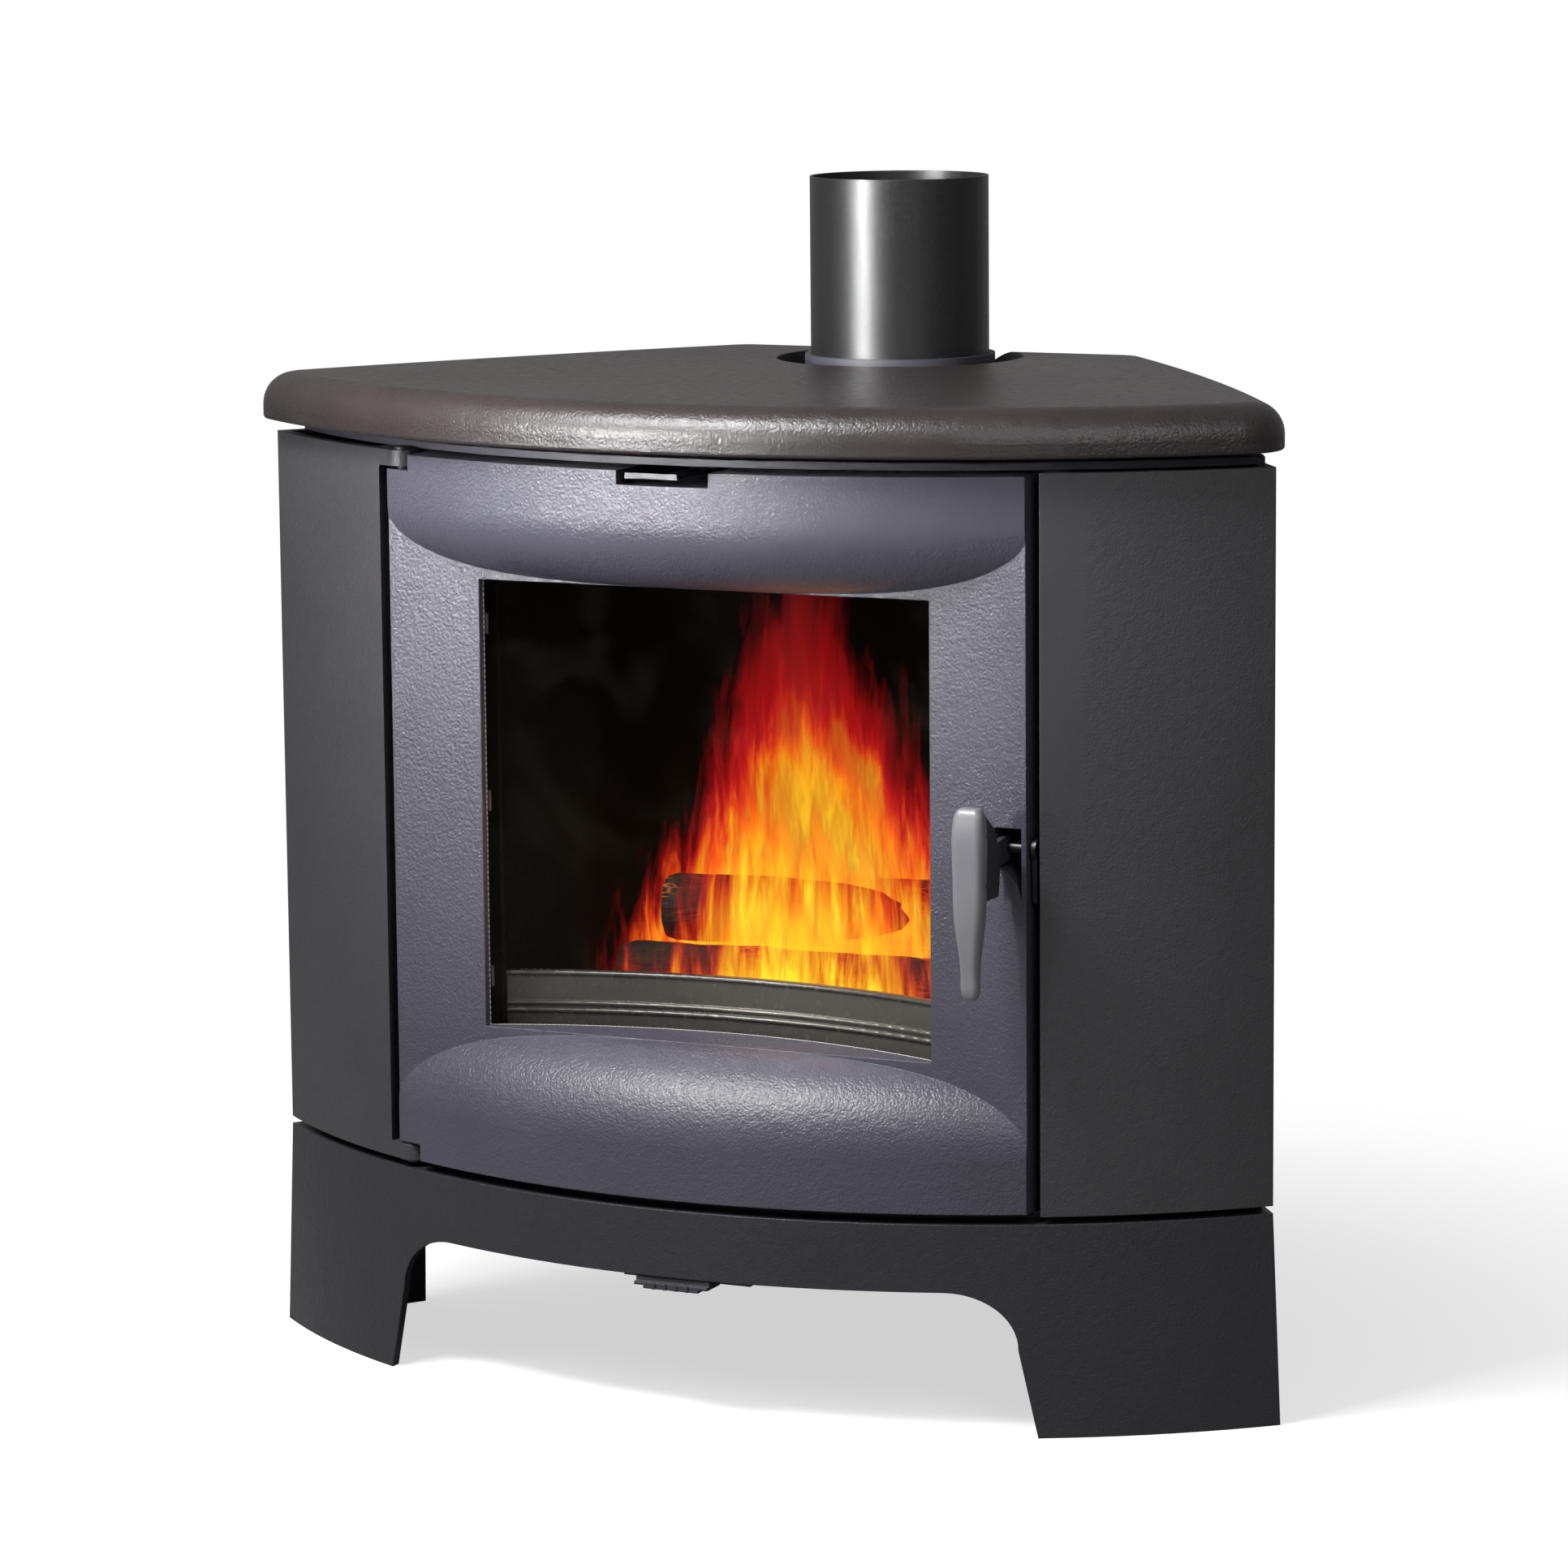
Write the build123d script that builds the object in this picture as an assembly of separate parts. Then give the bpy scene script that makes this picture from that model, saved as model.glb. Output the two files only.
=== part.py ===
from build123d import *
import os
from math import asin, atan2, cos, degrees, radians, sin, sqrt

# Corner wood stove in millimetres, +Z up, front towards -Y.
# The plan is drawn about the chord between the body's two front corners,
# and every part is moved by stand_shift when it is written, so that the
# written parts are centred on the floor.

# Plan of the body
front_radius = 645.0
half_width = 440.0
rear_half_width = 172.0
rear_depth = 378.0
door_half_angle = 25.4
side_joint = 11.0

# Heights
base_height = 170.0
plate_thickness = 6.0
panel_height = 581.5
door_gap_below = 2.0
door_gap_above = 2.5
lid_gap = 6.5
lid_thickness = 38.0

# Lid casting
lid_overhang = 20.0
lid_corner_reach = 17.0
lid_corner_radius = 45.0
lid_rear_half_width = 190.0
lid_rear_overhang = 6.0
lid_side_overhang = 11.0
lid_rear_radius = 40.0
lid_side_bow = 9.0
lid_bullnose = 26.0
lid_lower_edge = 3.0
lid_rim = 17.0
lid_skin = 8.0
lid_lug_radius = 12.0
lid_lug_from_corner = 132.0
notch_radius = 104.0
notch_rim = 11.0

# Flue
flue_outer_radius = 75.0
flue_wall = 2.0
flue_from_back = 93.0
flue_height_above_lid = 152.0
flue_fit = 0.05
collar_wall = 5.0
collar_height = 48.0

# Base casting
base_wall = 9.0
base_deck = 9.0
base_deck_width = 46.0
base_draft = 1.8
arch_height = 116.0
arch_top_half_width = 217.0
leg_inner_half_width = 287.0
arch_knee_height = 70.0
arch_knee_half_width = 272.0
leg_wing_front = 120.0
leg_wing_rear = 80.0
leg_wing_back = 64.0
side_arch_height = 110.0
side_arch_radius = 40.0

# Side panels and rear sheets
panel_wall = 9.0
panel_flange = 42.0
panel_return = 34.0
plate_inset = 24.0
sheet = 2.0
sheet_clearance = 0.3
rear_fold = 22.0

# Door casting
door_wall = 9.0
jamb_recess = 1.5
window_half_width = 196.0
lower_rail = 114.0
upper_rail = 99.0
bulge_depth = 70.0
upper_bulge_rise = 59.0
lower_bulge_rise = 72.0
glass_sag = 40.0
glass_thickness = 4.0
glass_overlap = 7.0
glass_seat_gap = 2.0
gasket_clearance = 0.2
seat_lip = 9.0
surround_wall = 8.0
seat_rim = 8.0
seal_flange_depth = 12.0
seal_flange_width = 20.0
seal_inset = 14.7
seal_width = 9.0
seal_groove_depth = 6.0
seal_gap = 4.0
seal_clearance = 0.3
top_notch_left = 41.0
top_notch_right = 38.0
top_notch_depth = 11.5

# Hinge
hinge_tab_height = 13.0
hinge_tab_clearance = 2.5
knuckle_radius = 12.0
knuckle_from_edge = 10.7
knuckle_clearance = 2.0
hinge_pin_radius = 4.5
hinge_fit = 0.05
hinge_pin_reach = 22.0
hinge_head_radius = 7.0
hinge_head_height = 2.5
bush_wall = 2.5
boss_radius = 11.5
boss_length = 32.0
washer_outer_radius = 10.0

# Latch and handle
recess_from_edge = 26.7
recess_edge_wall = 4.0
recess_above_shaft = 17.0
recess_knee_drop = 15.0
recess_drop = 45.0
recess_depth = 36.0
recess_wall = 8.0
shaft_height = 465.0
shaft_setback = 12.5
shaft_radius = 5.0
shaft_fit = 0.05
shaft_flat = 3.3
lever_thickness = 5.0
lever_hub_radius = 10.0
lever_reach = 60.0
lever_head_above = 32.0
lever_head_below = 35.0
lever_gap = 2.5
lever_neck_run = 18.0
lever_neck_rise = 8.0
lever_bend_run = 23.0
lever_bend_rise = 7.0
lever_swan_run = 31.0
lever_swan_rise = 20.0
lever_head_run = 48.0
lever_tail_run = 22.0
lever_neck_drop = 12.0
hook_thickness = 4.0
hook_gap = 2.0
hook_hub_radius = 9.0
hook_reach = 36.0
hook_tail = 42.0
hook_nose_height = 8.5
hook_nose_length = 7.0
hook_nose_slope = 2.0
hook_nose_chamfer = 5.0
hook_shoulder = 6.0
hook_arm_start = 18.0
hook_arm_top = 2.0
hook_arm_bottom = 8.0
hook_tail_half = 4.5
hook_tail_flare = 5.5
keeper_radius = 4.0
keeper_setback = 20.0
keeper_rise = 13.5
keeper_disc_radius = 8.0
keeper_disc = 1.5
keeper_reach = 9.0
grip_length = 150.0
grip_top_above_shaft = 39.0
grip_width = 26.0
grip_depth = 16.0
grip_corner_share = 0.36
grip_back_share = 0.2
grip_clearance = 0.1
grip_seat = 8.0
grip_offset = 5.5
grip_screw_inset = 14.0
grip_screw_reach = 4.5
screw_radius = 2.5
screw_head_radius = 4.5
screw_head_height = 2.5
# Sections of the grip as shares of its length, width and depth, top to tail
grip_sections = [
    (0.0, 0.58, 0.5),
    (0.02, 0.81, 0.75),
    (0.067, 0.96, 0.94),
    (0.3, 1.0, 1.0),
    (0.6, 0.885, 1.0),
    (0.787, 0.615, 0.81),
    (0.893, 0.558, 0.72),
    (0.953, 0.538, 0.656),
    (0.987, 0.404, 0.5),
    (1.0, 0.27, 0.375),
]

# Firebox
frame_thickness = 6.0
frame_half_width = 268.0
opening_half_width = 215.0
opening_sill = 38.0
opening_head = 67.5
shell_wall = 4.0
shell_front_half_width = 262.0
shell_rear_half_width = 152.0
shell_rear_gap = 14.0
brick_thickness = 25.0
brick_clearance = 0.5
brick_below_top = 117.5
hearth_height = 94.0
hearth_thickness = 8.0
hearth_clearance = 1.0
grate_half_width = 110.0
grate_front = 30.0
grate_rear = 200.0
grate_thickness = 10.0
grate_ledge = 8.0
grate_clearance = 1.0
grate_bars = 9
grate_slot_share = 0.45
ash_box_half_width = 135.0
ash_box_rear = 230.0
ash_box_wall = 3.0
ash_box_lift = 29.0
ash_pan_wall = 1.5
ash_pan_clearance = 3.0
ash_pan_height = 38.0
ash_pan_front = 6.0
ash_pan_handle_half = 23.0
ash_pan_handle_height = 23.0
baffle_thickness = 20.0
baffle_rise = 50.0
baffle_front = 60.0
baffle_rail = 18.0
guard_radius_step = 26.0
guard_thickness = 5.0
guard_half_width = 198.0
guard_height = 61.0
guard_bead = 2.2
guard_bead_drops = (2.2, 27.0, 33.0)

# Air controls
secondary_tab_left = -37.0
secondary_tab_width = 45.0
secondary_tab_setback = 8.0
secondary_tab_length = 16.0
secondary_stem_width = 16.0
secondary_plate = 3.0
secondary_tab_rise = 4.5
secondary_plate_width = 210.0
secondary_plate_depth = 34.0
secondary_travel = 20.0
secondary_hole = 9.0
secondary_holes = 4
slider_clearance = 0.4
guide_wall = 3.0
primary_box_half_width = 90.0
primary_box_front_gap = 26.0
primary_box_depth = 130.0
primary_box_sink = 0.5
primary_box_rim = 12.0
primary_port_half_width = 30.0
primary_plate = 4.0
primary_plate_half_width = 32.0
primary_travel = 20.0
primary_tab_length = 20.0
primary_tab_ridges = 4
primary_drop = 5.0
primary_overreach = 4.0
primary_step = 8.0
ridge_half = 1.2

# Firewood
log_radius = 34.0
log_length = 300.0
log_clearance = 0.4
log_nest = 12.0
log_spacing = 88.0
log_turns = (4.0, -5.0)
top_log_radius = 30.5
top_log_length = 255.0
top_log_turn = 14.0

# Rear vents
vent_rows = 4
vent_margin = 60.0
vent_pitch = 30.0
vent_length = 90.0
vent_width = 10.0

# Glass clips
clip_width = 16.0
clip_thickness = 1.5
clip_inset = 38.0
clip_overhang = 5.0

# Bolts between the base and the floor plate
bolt_radius = 4.0
bolt_head_radius = 7.5
bolt_head = 5.0
bolt_inset = 35.0
bolt_side_shares = (0.45, 0.8)

# Derived places
arc_y = sqrt(front_radius ** 2 - half_width ** 2)
corner_angle = degrees(asin(half_width / front_radius))
panel_angle = door_half_angle + degrees(side_joint / front_radius)
door_half_width = front_radius * sin(radians(door_half_angle))
panel_half_width = front_radius * sin(radians(panel_angle))
door_edge_y = arc_y - front_radius * cos(radians(door_half_angle))
jamb_y = door_edge_y + jamb_recess
floor_plate_top = base_height + plate_thickness
panel_top = floor_plate_top + panel_height
door_bottom = floor_plate_top + door_gap_below
door_top = panel_top - door_gap_above
top_plate_top = panel_top + plate_thickness
lid_bottom = top_plate_top + lid_gap
lid_top = lid_bottom + lid_thickness
lid_radius = front_radius + lid_overhang
lid_back = rear_depth + lid_rear_overhang
flue_y = rear_depth - flue_from_back

window_bottom = door_bottom + lower_rail
window_top = door_top - upper_rail
opening_bottom = floor_plate_top + opening_sill
opening_top = panel_top - opening_head
hearth_top = floor_plate_top + hearth_height
ash_box_floor = floor_plate_top + ash_box_lift
brick_top = panel_top - brick_below_top
guard_top = hearth_top + guard_height
primary_box_bottom = arch_height - primary_box_sink

seat_half = window_half_width + glass_overlap
seat_side_y = jamb_y + seat_lip
glass_radius = (window_half_width ** 2 + glass_sag ** 2) / (2 * glass_sag)
glass_centre_y = seat_side_y + glass_sag - glass_radius
surround_radius = glass_radius + glass_thickness + seat_rim
door_back_y = glass_centre_y + surround_radius
frame_front_y = door_back_y + seal_gap
frame_back_y = frame_front_y + frame_thickness

panel_edge_y = arc_y - sqrt(front_radius ** 2 - panel_half_width ** 2)
panel_flange_back = panel_edge_y + panel_flange
hinge_x = -(door_half_width - knuckle_from_edge)
hinge_y = arc_y - sqrt(front_radius ** 2 - hinge_x ** 2) + knuckle_radius
hinge_step_x = hinge_x + knuckle_radius + knuckle_clearance
shaft_y = jamb_y + shaft_setback
hook_start = door_half_width + hook_gap
recess_left = door_half_width - recess_from_edge
recess_top = shaft_height + recess_above_shaft
recess_knee = shaft_height - recess_knee_drop
recess_bottom = shaft_height - recess_drop
lever_start = recess_left + lever_gap
lever_end = lever_start + lever_thickness
grip_x = lever_start + lever_thickness / 2 - grip_offset
shell_back_y = rear_depth - shell_rear_gap
shell_lean = atan2(shell_front_half_width - shell_rear_half_width, shell_back_y - frame_back_y)
seal_half = door_half_width - door_wall - seal_inset
seal_bottom = floor_plate_top + hinge_tab_height + hinge_tab_clearance + seal_flange_width / 2
seal_top = panel_top - hinge_tab_height - hinge_tab_clearance - seal_flange_width / 2
stand_shift = -(lid_back - (lid_radius - arc_y)) / 2


def write(shape, name):
    export_step(Pos(0, stand_shift, 0) * shape, "parts/" + name + ".step")


def on_arc(radius, angle):
    # A plan point at an angle from the stove's middle line
    return (radius * sin(radians(angle)), arc_y - radius * cos(radians(angle)))


def block(x0, x1, y0, y1, z0, z1):
    centre = Pos((x0 + x1) / 2, (y0 + y1) / 2, (z0 + z1) / 2)
    return centre * Box(x1 - x0, y1 - y0, z1 - z0)


def rod(radius, x, y, z0, z1):
    return Pos(x, y, (z0 + z1) / 2) * Cylinder(radius, z1 - z0)


def rod_x(radius, x0, x1, y, z):
    return Pos((x0 + x1) / 2, y, z) * Rot(0, 90, 0) * Cylinder(radius, x1 - x0)


def prism(points, z0, z1):
    outline = make_face(Polyline(*points, close=True).edges())
    return Pos(0, 0, z0) * extrude(outline, amount=z1 - z0, dir=(0, 0, 1))


def side_profile(points, x0, x1):
    # A Y-Z outline made as thick as x0 to x1
    outline = make_face(Polyline(*points, close=True).edges())
    side = Plane(origin=(x0, 0, 0), x_dir=(0, 1, 0), z_dir=(1, 0, 0))
    return side * extrude(outline, amount=x1 - x0)


def arc_band(r_outer, r_inner, angle0, angle1, z0, z1):
    middle = (angle0 + angle1) / 2
    edges = [
        ThreePointArc(on_arc(r_outer, angle0), on_arc(r_outer, middle), on_arc(r_outer, angle1)),
        Line(on_arc(r_outer, angle1), on_arc(r_inner, angle1)),
        ThreePointArc(on_arc(r_inner, angle1), on_arc(r_inner, middle), on_arc(r_inner, angle0)),
        Line(on_arc(r_inner, angle0), on_arc(r_outer, angle0)),
    ]
    return Pos(0, 0, z0) * extrude(make_face(edges), amount=z1 - z0, dir=(0, 0, 1))


def mirrored(shape):
    return mirror(shape, about=Plane.YZ)


# The body's outline: a front arc, two straight sides and a back
side_run = sqrt((half_width - rear_half_width) ** 2 + rear_depth ** 2)
side_along = ((rear_half_width - half_width) / side_run, rear_depth / side_run)
side_inward = (-side_along[1], side_along[0])


def body_face(inset_front, inset_side, inset_back):
    # Corner points of the outline, moved in from the outer faces
    radius = front_radius - inset_front
    start_x = half_width + side_inward[0] * inset_side
    start_y = side_inward[1] * inset_side
    slope = side_along[0] / side_along[1]
    corner_x, corner_y = line_meets_arc(start_x, start_y, slope, radius)
    back_y = rear_depth - inset_back
    back_x = start_x + slope * (back_y - start_y)
    edges = [
        ThreePointArc((-corner_x, corner_y), (0, arc_y - radius), (corner_x, corner_y)),
        Line((corner_x, corner_y), (back_x, back_y)),
        Line((back_x, back_y), (-back_x, back_y)),
        Line((-back_x, back_y), (-corner_x, corner_y)),
    ]
    return make_face(edges)


def line_meets_arc(start_x, start_y, slope, radius):
    # Where x = start_x + slope (y - start_y) crosses the front arc
    offset = start_x - slope * start_y
    a = 1 + slope ** 2
    b = 2 * (offset * slope - arc_y)
    c = offset ** 2 + arc_y ** 2 - radius ** 2
    y = (-b - sqrt(b ** 2 - 4 * a * c)) / (2 * a)
    return (offset + slope * y, y)


def body_prism(inset_front, inset_side, inset_back, z0, z1):
    outline = body_face(inset_front, inset_side, inset_back)
    return Pos(0, 0, z0) * extrude(outline, amount=z1 - z0, dir=(0, 0, 1))


def make_lid():
    corner_x = half_width + lid_corner_reach
    corner_y = arc_y - sqrt(lid_radius ** 2 - corner_x ** 2)
    middle_x = (corner_x + lid_rear_half_width) / 2 + lid_side_bow
    middle_y = (corner_y + lid_back) / 2 + lid_side_bow / 2
    edges = [
        ThreePointArc((-corner_x, corner_y), (0, arc_y - lid_radius), (corner_x, corner_y)),
        ThreePointArc((corner_x, corner_y), (middle_x, middle_y), (lid_rear_half_width, lid_back)),
        Line((lid_rear_half_width, lid_back), (-lid_rear_half_width, lid_back)),
        ThreePointArc((-lid_rear_half_width, lid_back), (-middle_x, middle_y), (-corner_x, corner_y)),
    ]
    outline = make_face(edges)
    rear = outline.vertices().filter_by(lambda v: v.Y > middle_y)
    outline = fillet(rear, lid_rear_radius)
    front = outline.vertices().filter_by(lambda v: abs(v.X) > half_width)
    outline = fillet(front, lid_corner_radius)
    slab = extrude(outline, amount=lid_thickness, dir=(0, 0, 1))
    under = body_face(lid_rim - lid_overhang, lid_rim - lid_side_overhang, lid_rim - lid_rear_overhang)
    hollow = extrude(under, amount=lid_thickness - lid_skin, dir=(0, 0, 1))
    slab = fillet(slab.faces().sort_by(Axis.Z)[-1].edges(), lid_bullnose)
    slab = fillet(slab.faces().sort_by(Axis.Z)[0].edges(), lid_lower_edge)
    hollow -= rod(notch_radius + notch_rim, 0, flue_y, -1, lid_thickness)
    lid = Pos(0, 0, lid_bottom) * (slab - hollow)
    for x, y in lid_lug_places():
        lid += rod(lid_lug_radius, x, y, top_plate_top, lid_top - lid_skin / 2)
    lid -= rod(notch_radius, 0, flue_y, lid_bottom - 1, lid_top + 1)
    return lid


def lid_lug_places():
    front_x = half_width - lid_lug_from_corner
    front_y = arc_y - sqrt((front_radius - 2 * plate_inset) ** 2 - front_x ** 2)
    rear_x = (lid_rear_half_width + notch_radius) / 2 + lid_lug_radius
    rear_y = flue_y - notch_radius
    return [(-front_x, front_y), (front_x, front_y), (-rear_x, rear_y), (rear_x, rear_y)]


def make_base():
    outer = body_face(0, 0, 0)
    skirt = Pos(0, 0, base_height) * extrude(outer, amount=base_height, dir=(0, 0, -1), taper=-base_draft)
    inner = body_face(base_wall, base_wall, base_wall)
    room = base_height - base_deck
    void = Pos(0, 0, room) * extrude(inner, amount=room + 1, dir=(0, 0, -1), taper=-base_draft)
    skirt -= void
    skirt -= body_prism(base_deck_width, base_deck_width, base_deck_width, room - 1, base_height + 1)
    skirt -= primary_box_room()
    for x, y in base_bolt_places():
        skirt -= rod(bolt_radius, x, y, room - 1, base_height + 1)
    return skirt - front_arch() - side_arch() - mirrored(side_arch()) - rear_arch()


def primary_box_room():
    half = primary_box_half_width + hearth_clearance
    y0 = primary_box_y()
    y1 = y0 + primary_box_depth
    return block(-half, half, y0 - hearth_clearance, y1, base_height - base_deck - 1, base_height + 1)


def front_arch():
    bend = arch_knee_half_width - arch_top_half_width
    rise = arch_height - arch_knee_height
    floor_half = leg_inner_half_width
    edges = [
        Line((-arch_top_half_width, arch_height), (arch_top_half_width, arch_height)),
        EllipticalCenterArc((arch_top_half_width, arch_knee_height), bend, rise, 0, arc_size=90),
        Line((arch_knee_half_width, arch_knee_height), (floor_half, -1)),
        Line((floor_half, -1), (-floor_half, -1)),
        Line((-floor_half, -1), (-arch_knee_half_width, arch_knee_height)),
        EllipticalCenterArc((-arch_top_half_width, arch_knee_height), bend, rise, 90, arc_size=90),
    ]
    return Plane.XZ * extrude(make_face(edges), amount=front_radius / 2, dir=(0, 0, 1))


def side_arch():
    # An arch through the right side wall, drawn in that wall's own plane
    length = side_run - leg_wing_front - leg_wing_rear
    outline = Pos(0, (side_arch_height - 1) / 2) * Rectangle(length, side_arch_height + 1)
    outline = fillet(outline.vertices().sort_by(Axis.Y)[-2:], side_arch_radius)
    middle = leg_wing_front + length / 2
    origin = (half_width + side_along[0] * middle, side_along[1] * middle, 0)
    outward = (-side_inward[0], -side_inward[1], 0)
    wall = Plane(origin=origin, x_dir=(side_along[0], side_along[1], 0), z_dir=outward)
    return wall * extrude(outline, amount=3 * base_wall, both=True)


def rear_arch():
    span = rear_half_width - leg_wing_back
    outline = Pos(0, (side_arch_height - 1) / 2) * Rectangle(2 * span, side_arch_height + 1)
    outline = fillet(outline.vertices().sort_by(Axis.Y)[-2:], side_arch_radius)
    wall = Plane(origin=(0, rear_depth, 0), x_dir=(1, 0, 0), z_dir=(0, -1, 0))
    return wall * extrude(outline, amount=3 * base_wall, both=True)


def make_floor_plate():
    edge = sheet + sheet_clearance
    plate = body_prism(plate_inset, edge, edge, base_height, floor_plate_top)
    port = block(-primary_box_half_width / 2, primary_box_half_width / 2,
                 primary_box_y() + base_wall, primary_box_y() + primary_box_depth - base_wall,
                 base_height - 1, floor_plate_top + 1)
    for x, y in base_bolt_places():
        plate -= rod(bolt_radius, x, y, base_height - 1, floor_plate_top + 1)
    return plate - port


def make_top_plate():
    edge = sheet + sheet_clearance
    plate = body_prism(plate_inset, edge, edge, panel_top, top_plate_top)
    return plate - rod(flue_outer_radius + flue_fit, 0, flue_y, panel_top - 1, top_plate_top + 1)


def make_right_panel():
    edge = panel_half_width
    inner_radius = front_radius - panel_wall
    skin = arc_band(front_radius, inner_radius, door_half_angle, corner_angle, floor_plate_top, panel_top)
    panel = skin & block(edge, half_width, -front_radius, side_run, 0, lid_top)
    flange = block(edge, edge + panel_wall, -front_radius, panel_flange_back, floor_plate_top, panel_top)
    panel += flange & rod(front_radius, 0, arc_y, floor_plate_top, panel_top)
    corner = (half_width, 0)
    inner = line_meets_arc(half_width + side_inward[0] * panel_wall, side_inward[1] * panel_wall,
                           side_along[0] / side_along[1], front_radius)
    end = (corner[0] + side_along[0] * panel_return, corner[1] + side_along[1] * panel_return)
    inner_end = (end[0] + side_inward[0] * panel_wall, end[1] + side_inward[1] * panel_wall)
    panel += prism([corner, end, inner_end, inner], floor_plate_top, panel_top)
    return panel


def make_left_panel():
    panel = mirrored(make_right_panel())
    for z0, z1 in hinge_tab_spans():
        panel += hinge_tab(z0, z1)
    return panel


def hinge_tab_spans():
    return [(floor_plate_top, floor_plate_top + hinge_tab_height), (panel_top - hinge_tab_height, panel_top)]


def hinge_tab(z0, z1):
    # A strip along the front arc that ends in a round knuckle at the hinge axis
    end_angle = degrees(asin(-hinge_x / front_radius))
    inner_radius = front_radius - 2 * knuckle_radius
    tab = mirrored(arc_band(front_radius, inner_radius, end_angle, panel_angle + 1, z0, z1))
    tab += rod(knuckle_radius, hinge_x, hinge_y, z0, z1)
    return tab - rod(hinge_pin_radius, hinge_x, hinge_y, z0 - 1, z1 + 1)


def make_rear_casing():
    # The right side sheet, with a fold behind the front corner and one on the back
    reach = panel_return + sheet
    solid = body_prism(0, 0, 0, base_height, top_plate_top) - body_prism(sheet, sheet, sheet, 0, lid_top)
    keep_from = side_along[1] * reach
    solid &= block(rear_half_width - rear_fold, half_width * 1.2, keep_from, rear_depth + 1, 0, lid_top)
    return solid


def make_rear_panel():
    half = rear_half_width - rear_fold - sheet_clearance
    panel = block(-half, half, rear_depth - sheet, rear_depth, base_height, top_plate_top)
    for index in range(vent_rows):
        for side in (-1, 1):
            z = panel_top - vent_margin - index * vent_pitch
            slot = SlotOverall(vent_length, vent_width)
            slot = extrude(slot, amount=4 * sheet, both=True)
            panel -= Pos(side * half / 2, rear_depth, z) * Rot(90, 0, 0) * slot
    return panel


# Door casting: an arc-fronted shell with two rounded bulges over a flat jamb
def bulge_cutter(inset):
    # The space in front of the jambs, between the two bulges
    outer = front_radius
    inner = front_radius - bulge_depth
    upper_rise = upper_bulge_rise - inset
    lower_rise = lower_bulge_rise - inset
    depth = bulge_depth - inset
    upper_centre = window_top + upper_bulge_rise
    lower_centre = window_bottom - lower_bulge_rise
    deep = inner - bulge_depth
    clear = outer + bulge_depth
    edges = [
        Line((deep, window_top + inset), (inner, window_top + inset)),
        EllipticalCenterArc((inner, upper_centre), depth, upper_rise, 270, arc_size=90),
        Line((inner + depth, upper_centre), (clear, upper_centre)),
        Line((clear, upper_centre), (clear, lower_centre)),
        Line((clear, lower_centre), (inner + depth, lower_centre)),
        EllipticalCenterArc((inner, lower_centre), depth, lower_rise, 0, arc_size=90),
        Line((inner, window_bottom - inset), (deep, window_bottom - inset)),
        Line((deep, window_bottom - inset), (deep, window_top + inset)),
    ]
    profile = Plane.XZ * make_face(edges)
    ring = revolve(profile, axis=Axis.Z, revolution_arc=90)
    ring = Pos(0, arc_y, 0) * Rot(0, 0, -135) * ring
    return ring & block(-half_width, half_width, -front_radius, jamb_y + inset, 0, lid_top)


def door_envelope(inset, back_y):
    disc = Pos(0, arc_y, door_bottom + inset) * extrude(
        Circle(front_radius - inset), amount=door_top - door_bottom - 2 * inset, dir=(0, 0, 1))
    half = door_half_width - inset
    slab = disc & block(-half, half, -front_radius, back_y, 0, lid_top)
    return slab - bulge_cutter(inset)


def glass_cylinder(radius):
    return rod(radius, 0, glass_centre_y, 0, lid_top)


def make_door():
    block_half = seat_half + surround_wall
    block_bottom = window_bottom - glass_overlap - surround_wall
    block_top = window_top + glass_overlap + surround_wall
    cavity = door_envelope(door_wall, door_back_y + 1)
    cavity -= block(-block_half, block_half, -front_radius, door_back_y + 1, block_bottom, block_top)
    cavity -= seal_flange()
    for z0, z1 in boss_spans():
        cavity -= rod(boss_radius, hinge_x, hinge_y, z0, z1)
    cavity -= step_walls()
    cavity -= recess_pocket()
    cavity -= notch_wall()
    door = door_envelope(0, door_back_y) - cavity
    door -= block(-window_half_width, window_half_width, -front_radius, door_back_y + 1,
                  window_bottom, window_top)
    seat = block(-seat_half, seat_half, -front_radius, door_back_y + 1,
                 window_bottom - glass_overlap, window_top + glass_overlap)
    door -= seat - glass_cylinder(glass_radius - glass_seat_gap)
    behind = block(-block_half, block_half, -front_radius, door_back_y + 1, block_bottom, block_top)
    door -= behind - glass_cylinder(surround_radius)
    door -= seal_ring(seal_width, door_back_y - seal_groove_depth, door_back_y + 1)
    door -= hinge_steps()
    for z0, z1 in boss_spans():
        door -= rod(hinge_pin_radius + bush_wall, hinge_x, hinge_y, z0 - 1, z1 + 1)
    door -= block(-top_notch_left, top_notch_right, -front_radius, door_back_y + 1,
                  door_top - top_notch_depth, door_top + 1)
    door -= latch_recess()
    door -= rod_x(shaft_radius + shaft_fit, recess_left - recess_wall, door_half_width + 1,
                  shaft_y, shaft_height)
    for x, z in clip_places():
        door -= screw_axis(x, z, screw_radius, surround_radius - 2 * seat_rim + 1, surround_radius + 1)
    return door


def boss_spans():
    low = floor_plate_top + hinge_tab_height + hinge_tab_clearance
    high = panel_top - hinge_tab_height - hinge_tab_clearance
    return [(low, low + boss_length), (high - boss_length, high)]


def hinge_steps():
    # Stepped corners that let the door swing round the panel's tabs
    low = boss_spans()[0][0]
    high = boss_spans()[1][1]
    steps = block(-half_width, hinge_step_x, -front_radius, door_back_y + 1, 0, low)
    return steps + block(-half_width, hinge_step_x, -front_radius, door_back_y + 1, high, lid_top)


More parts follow.
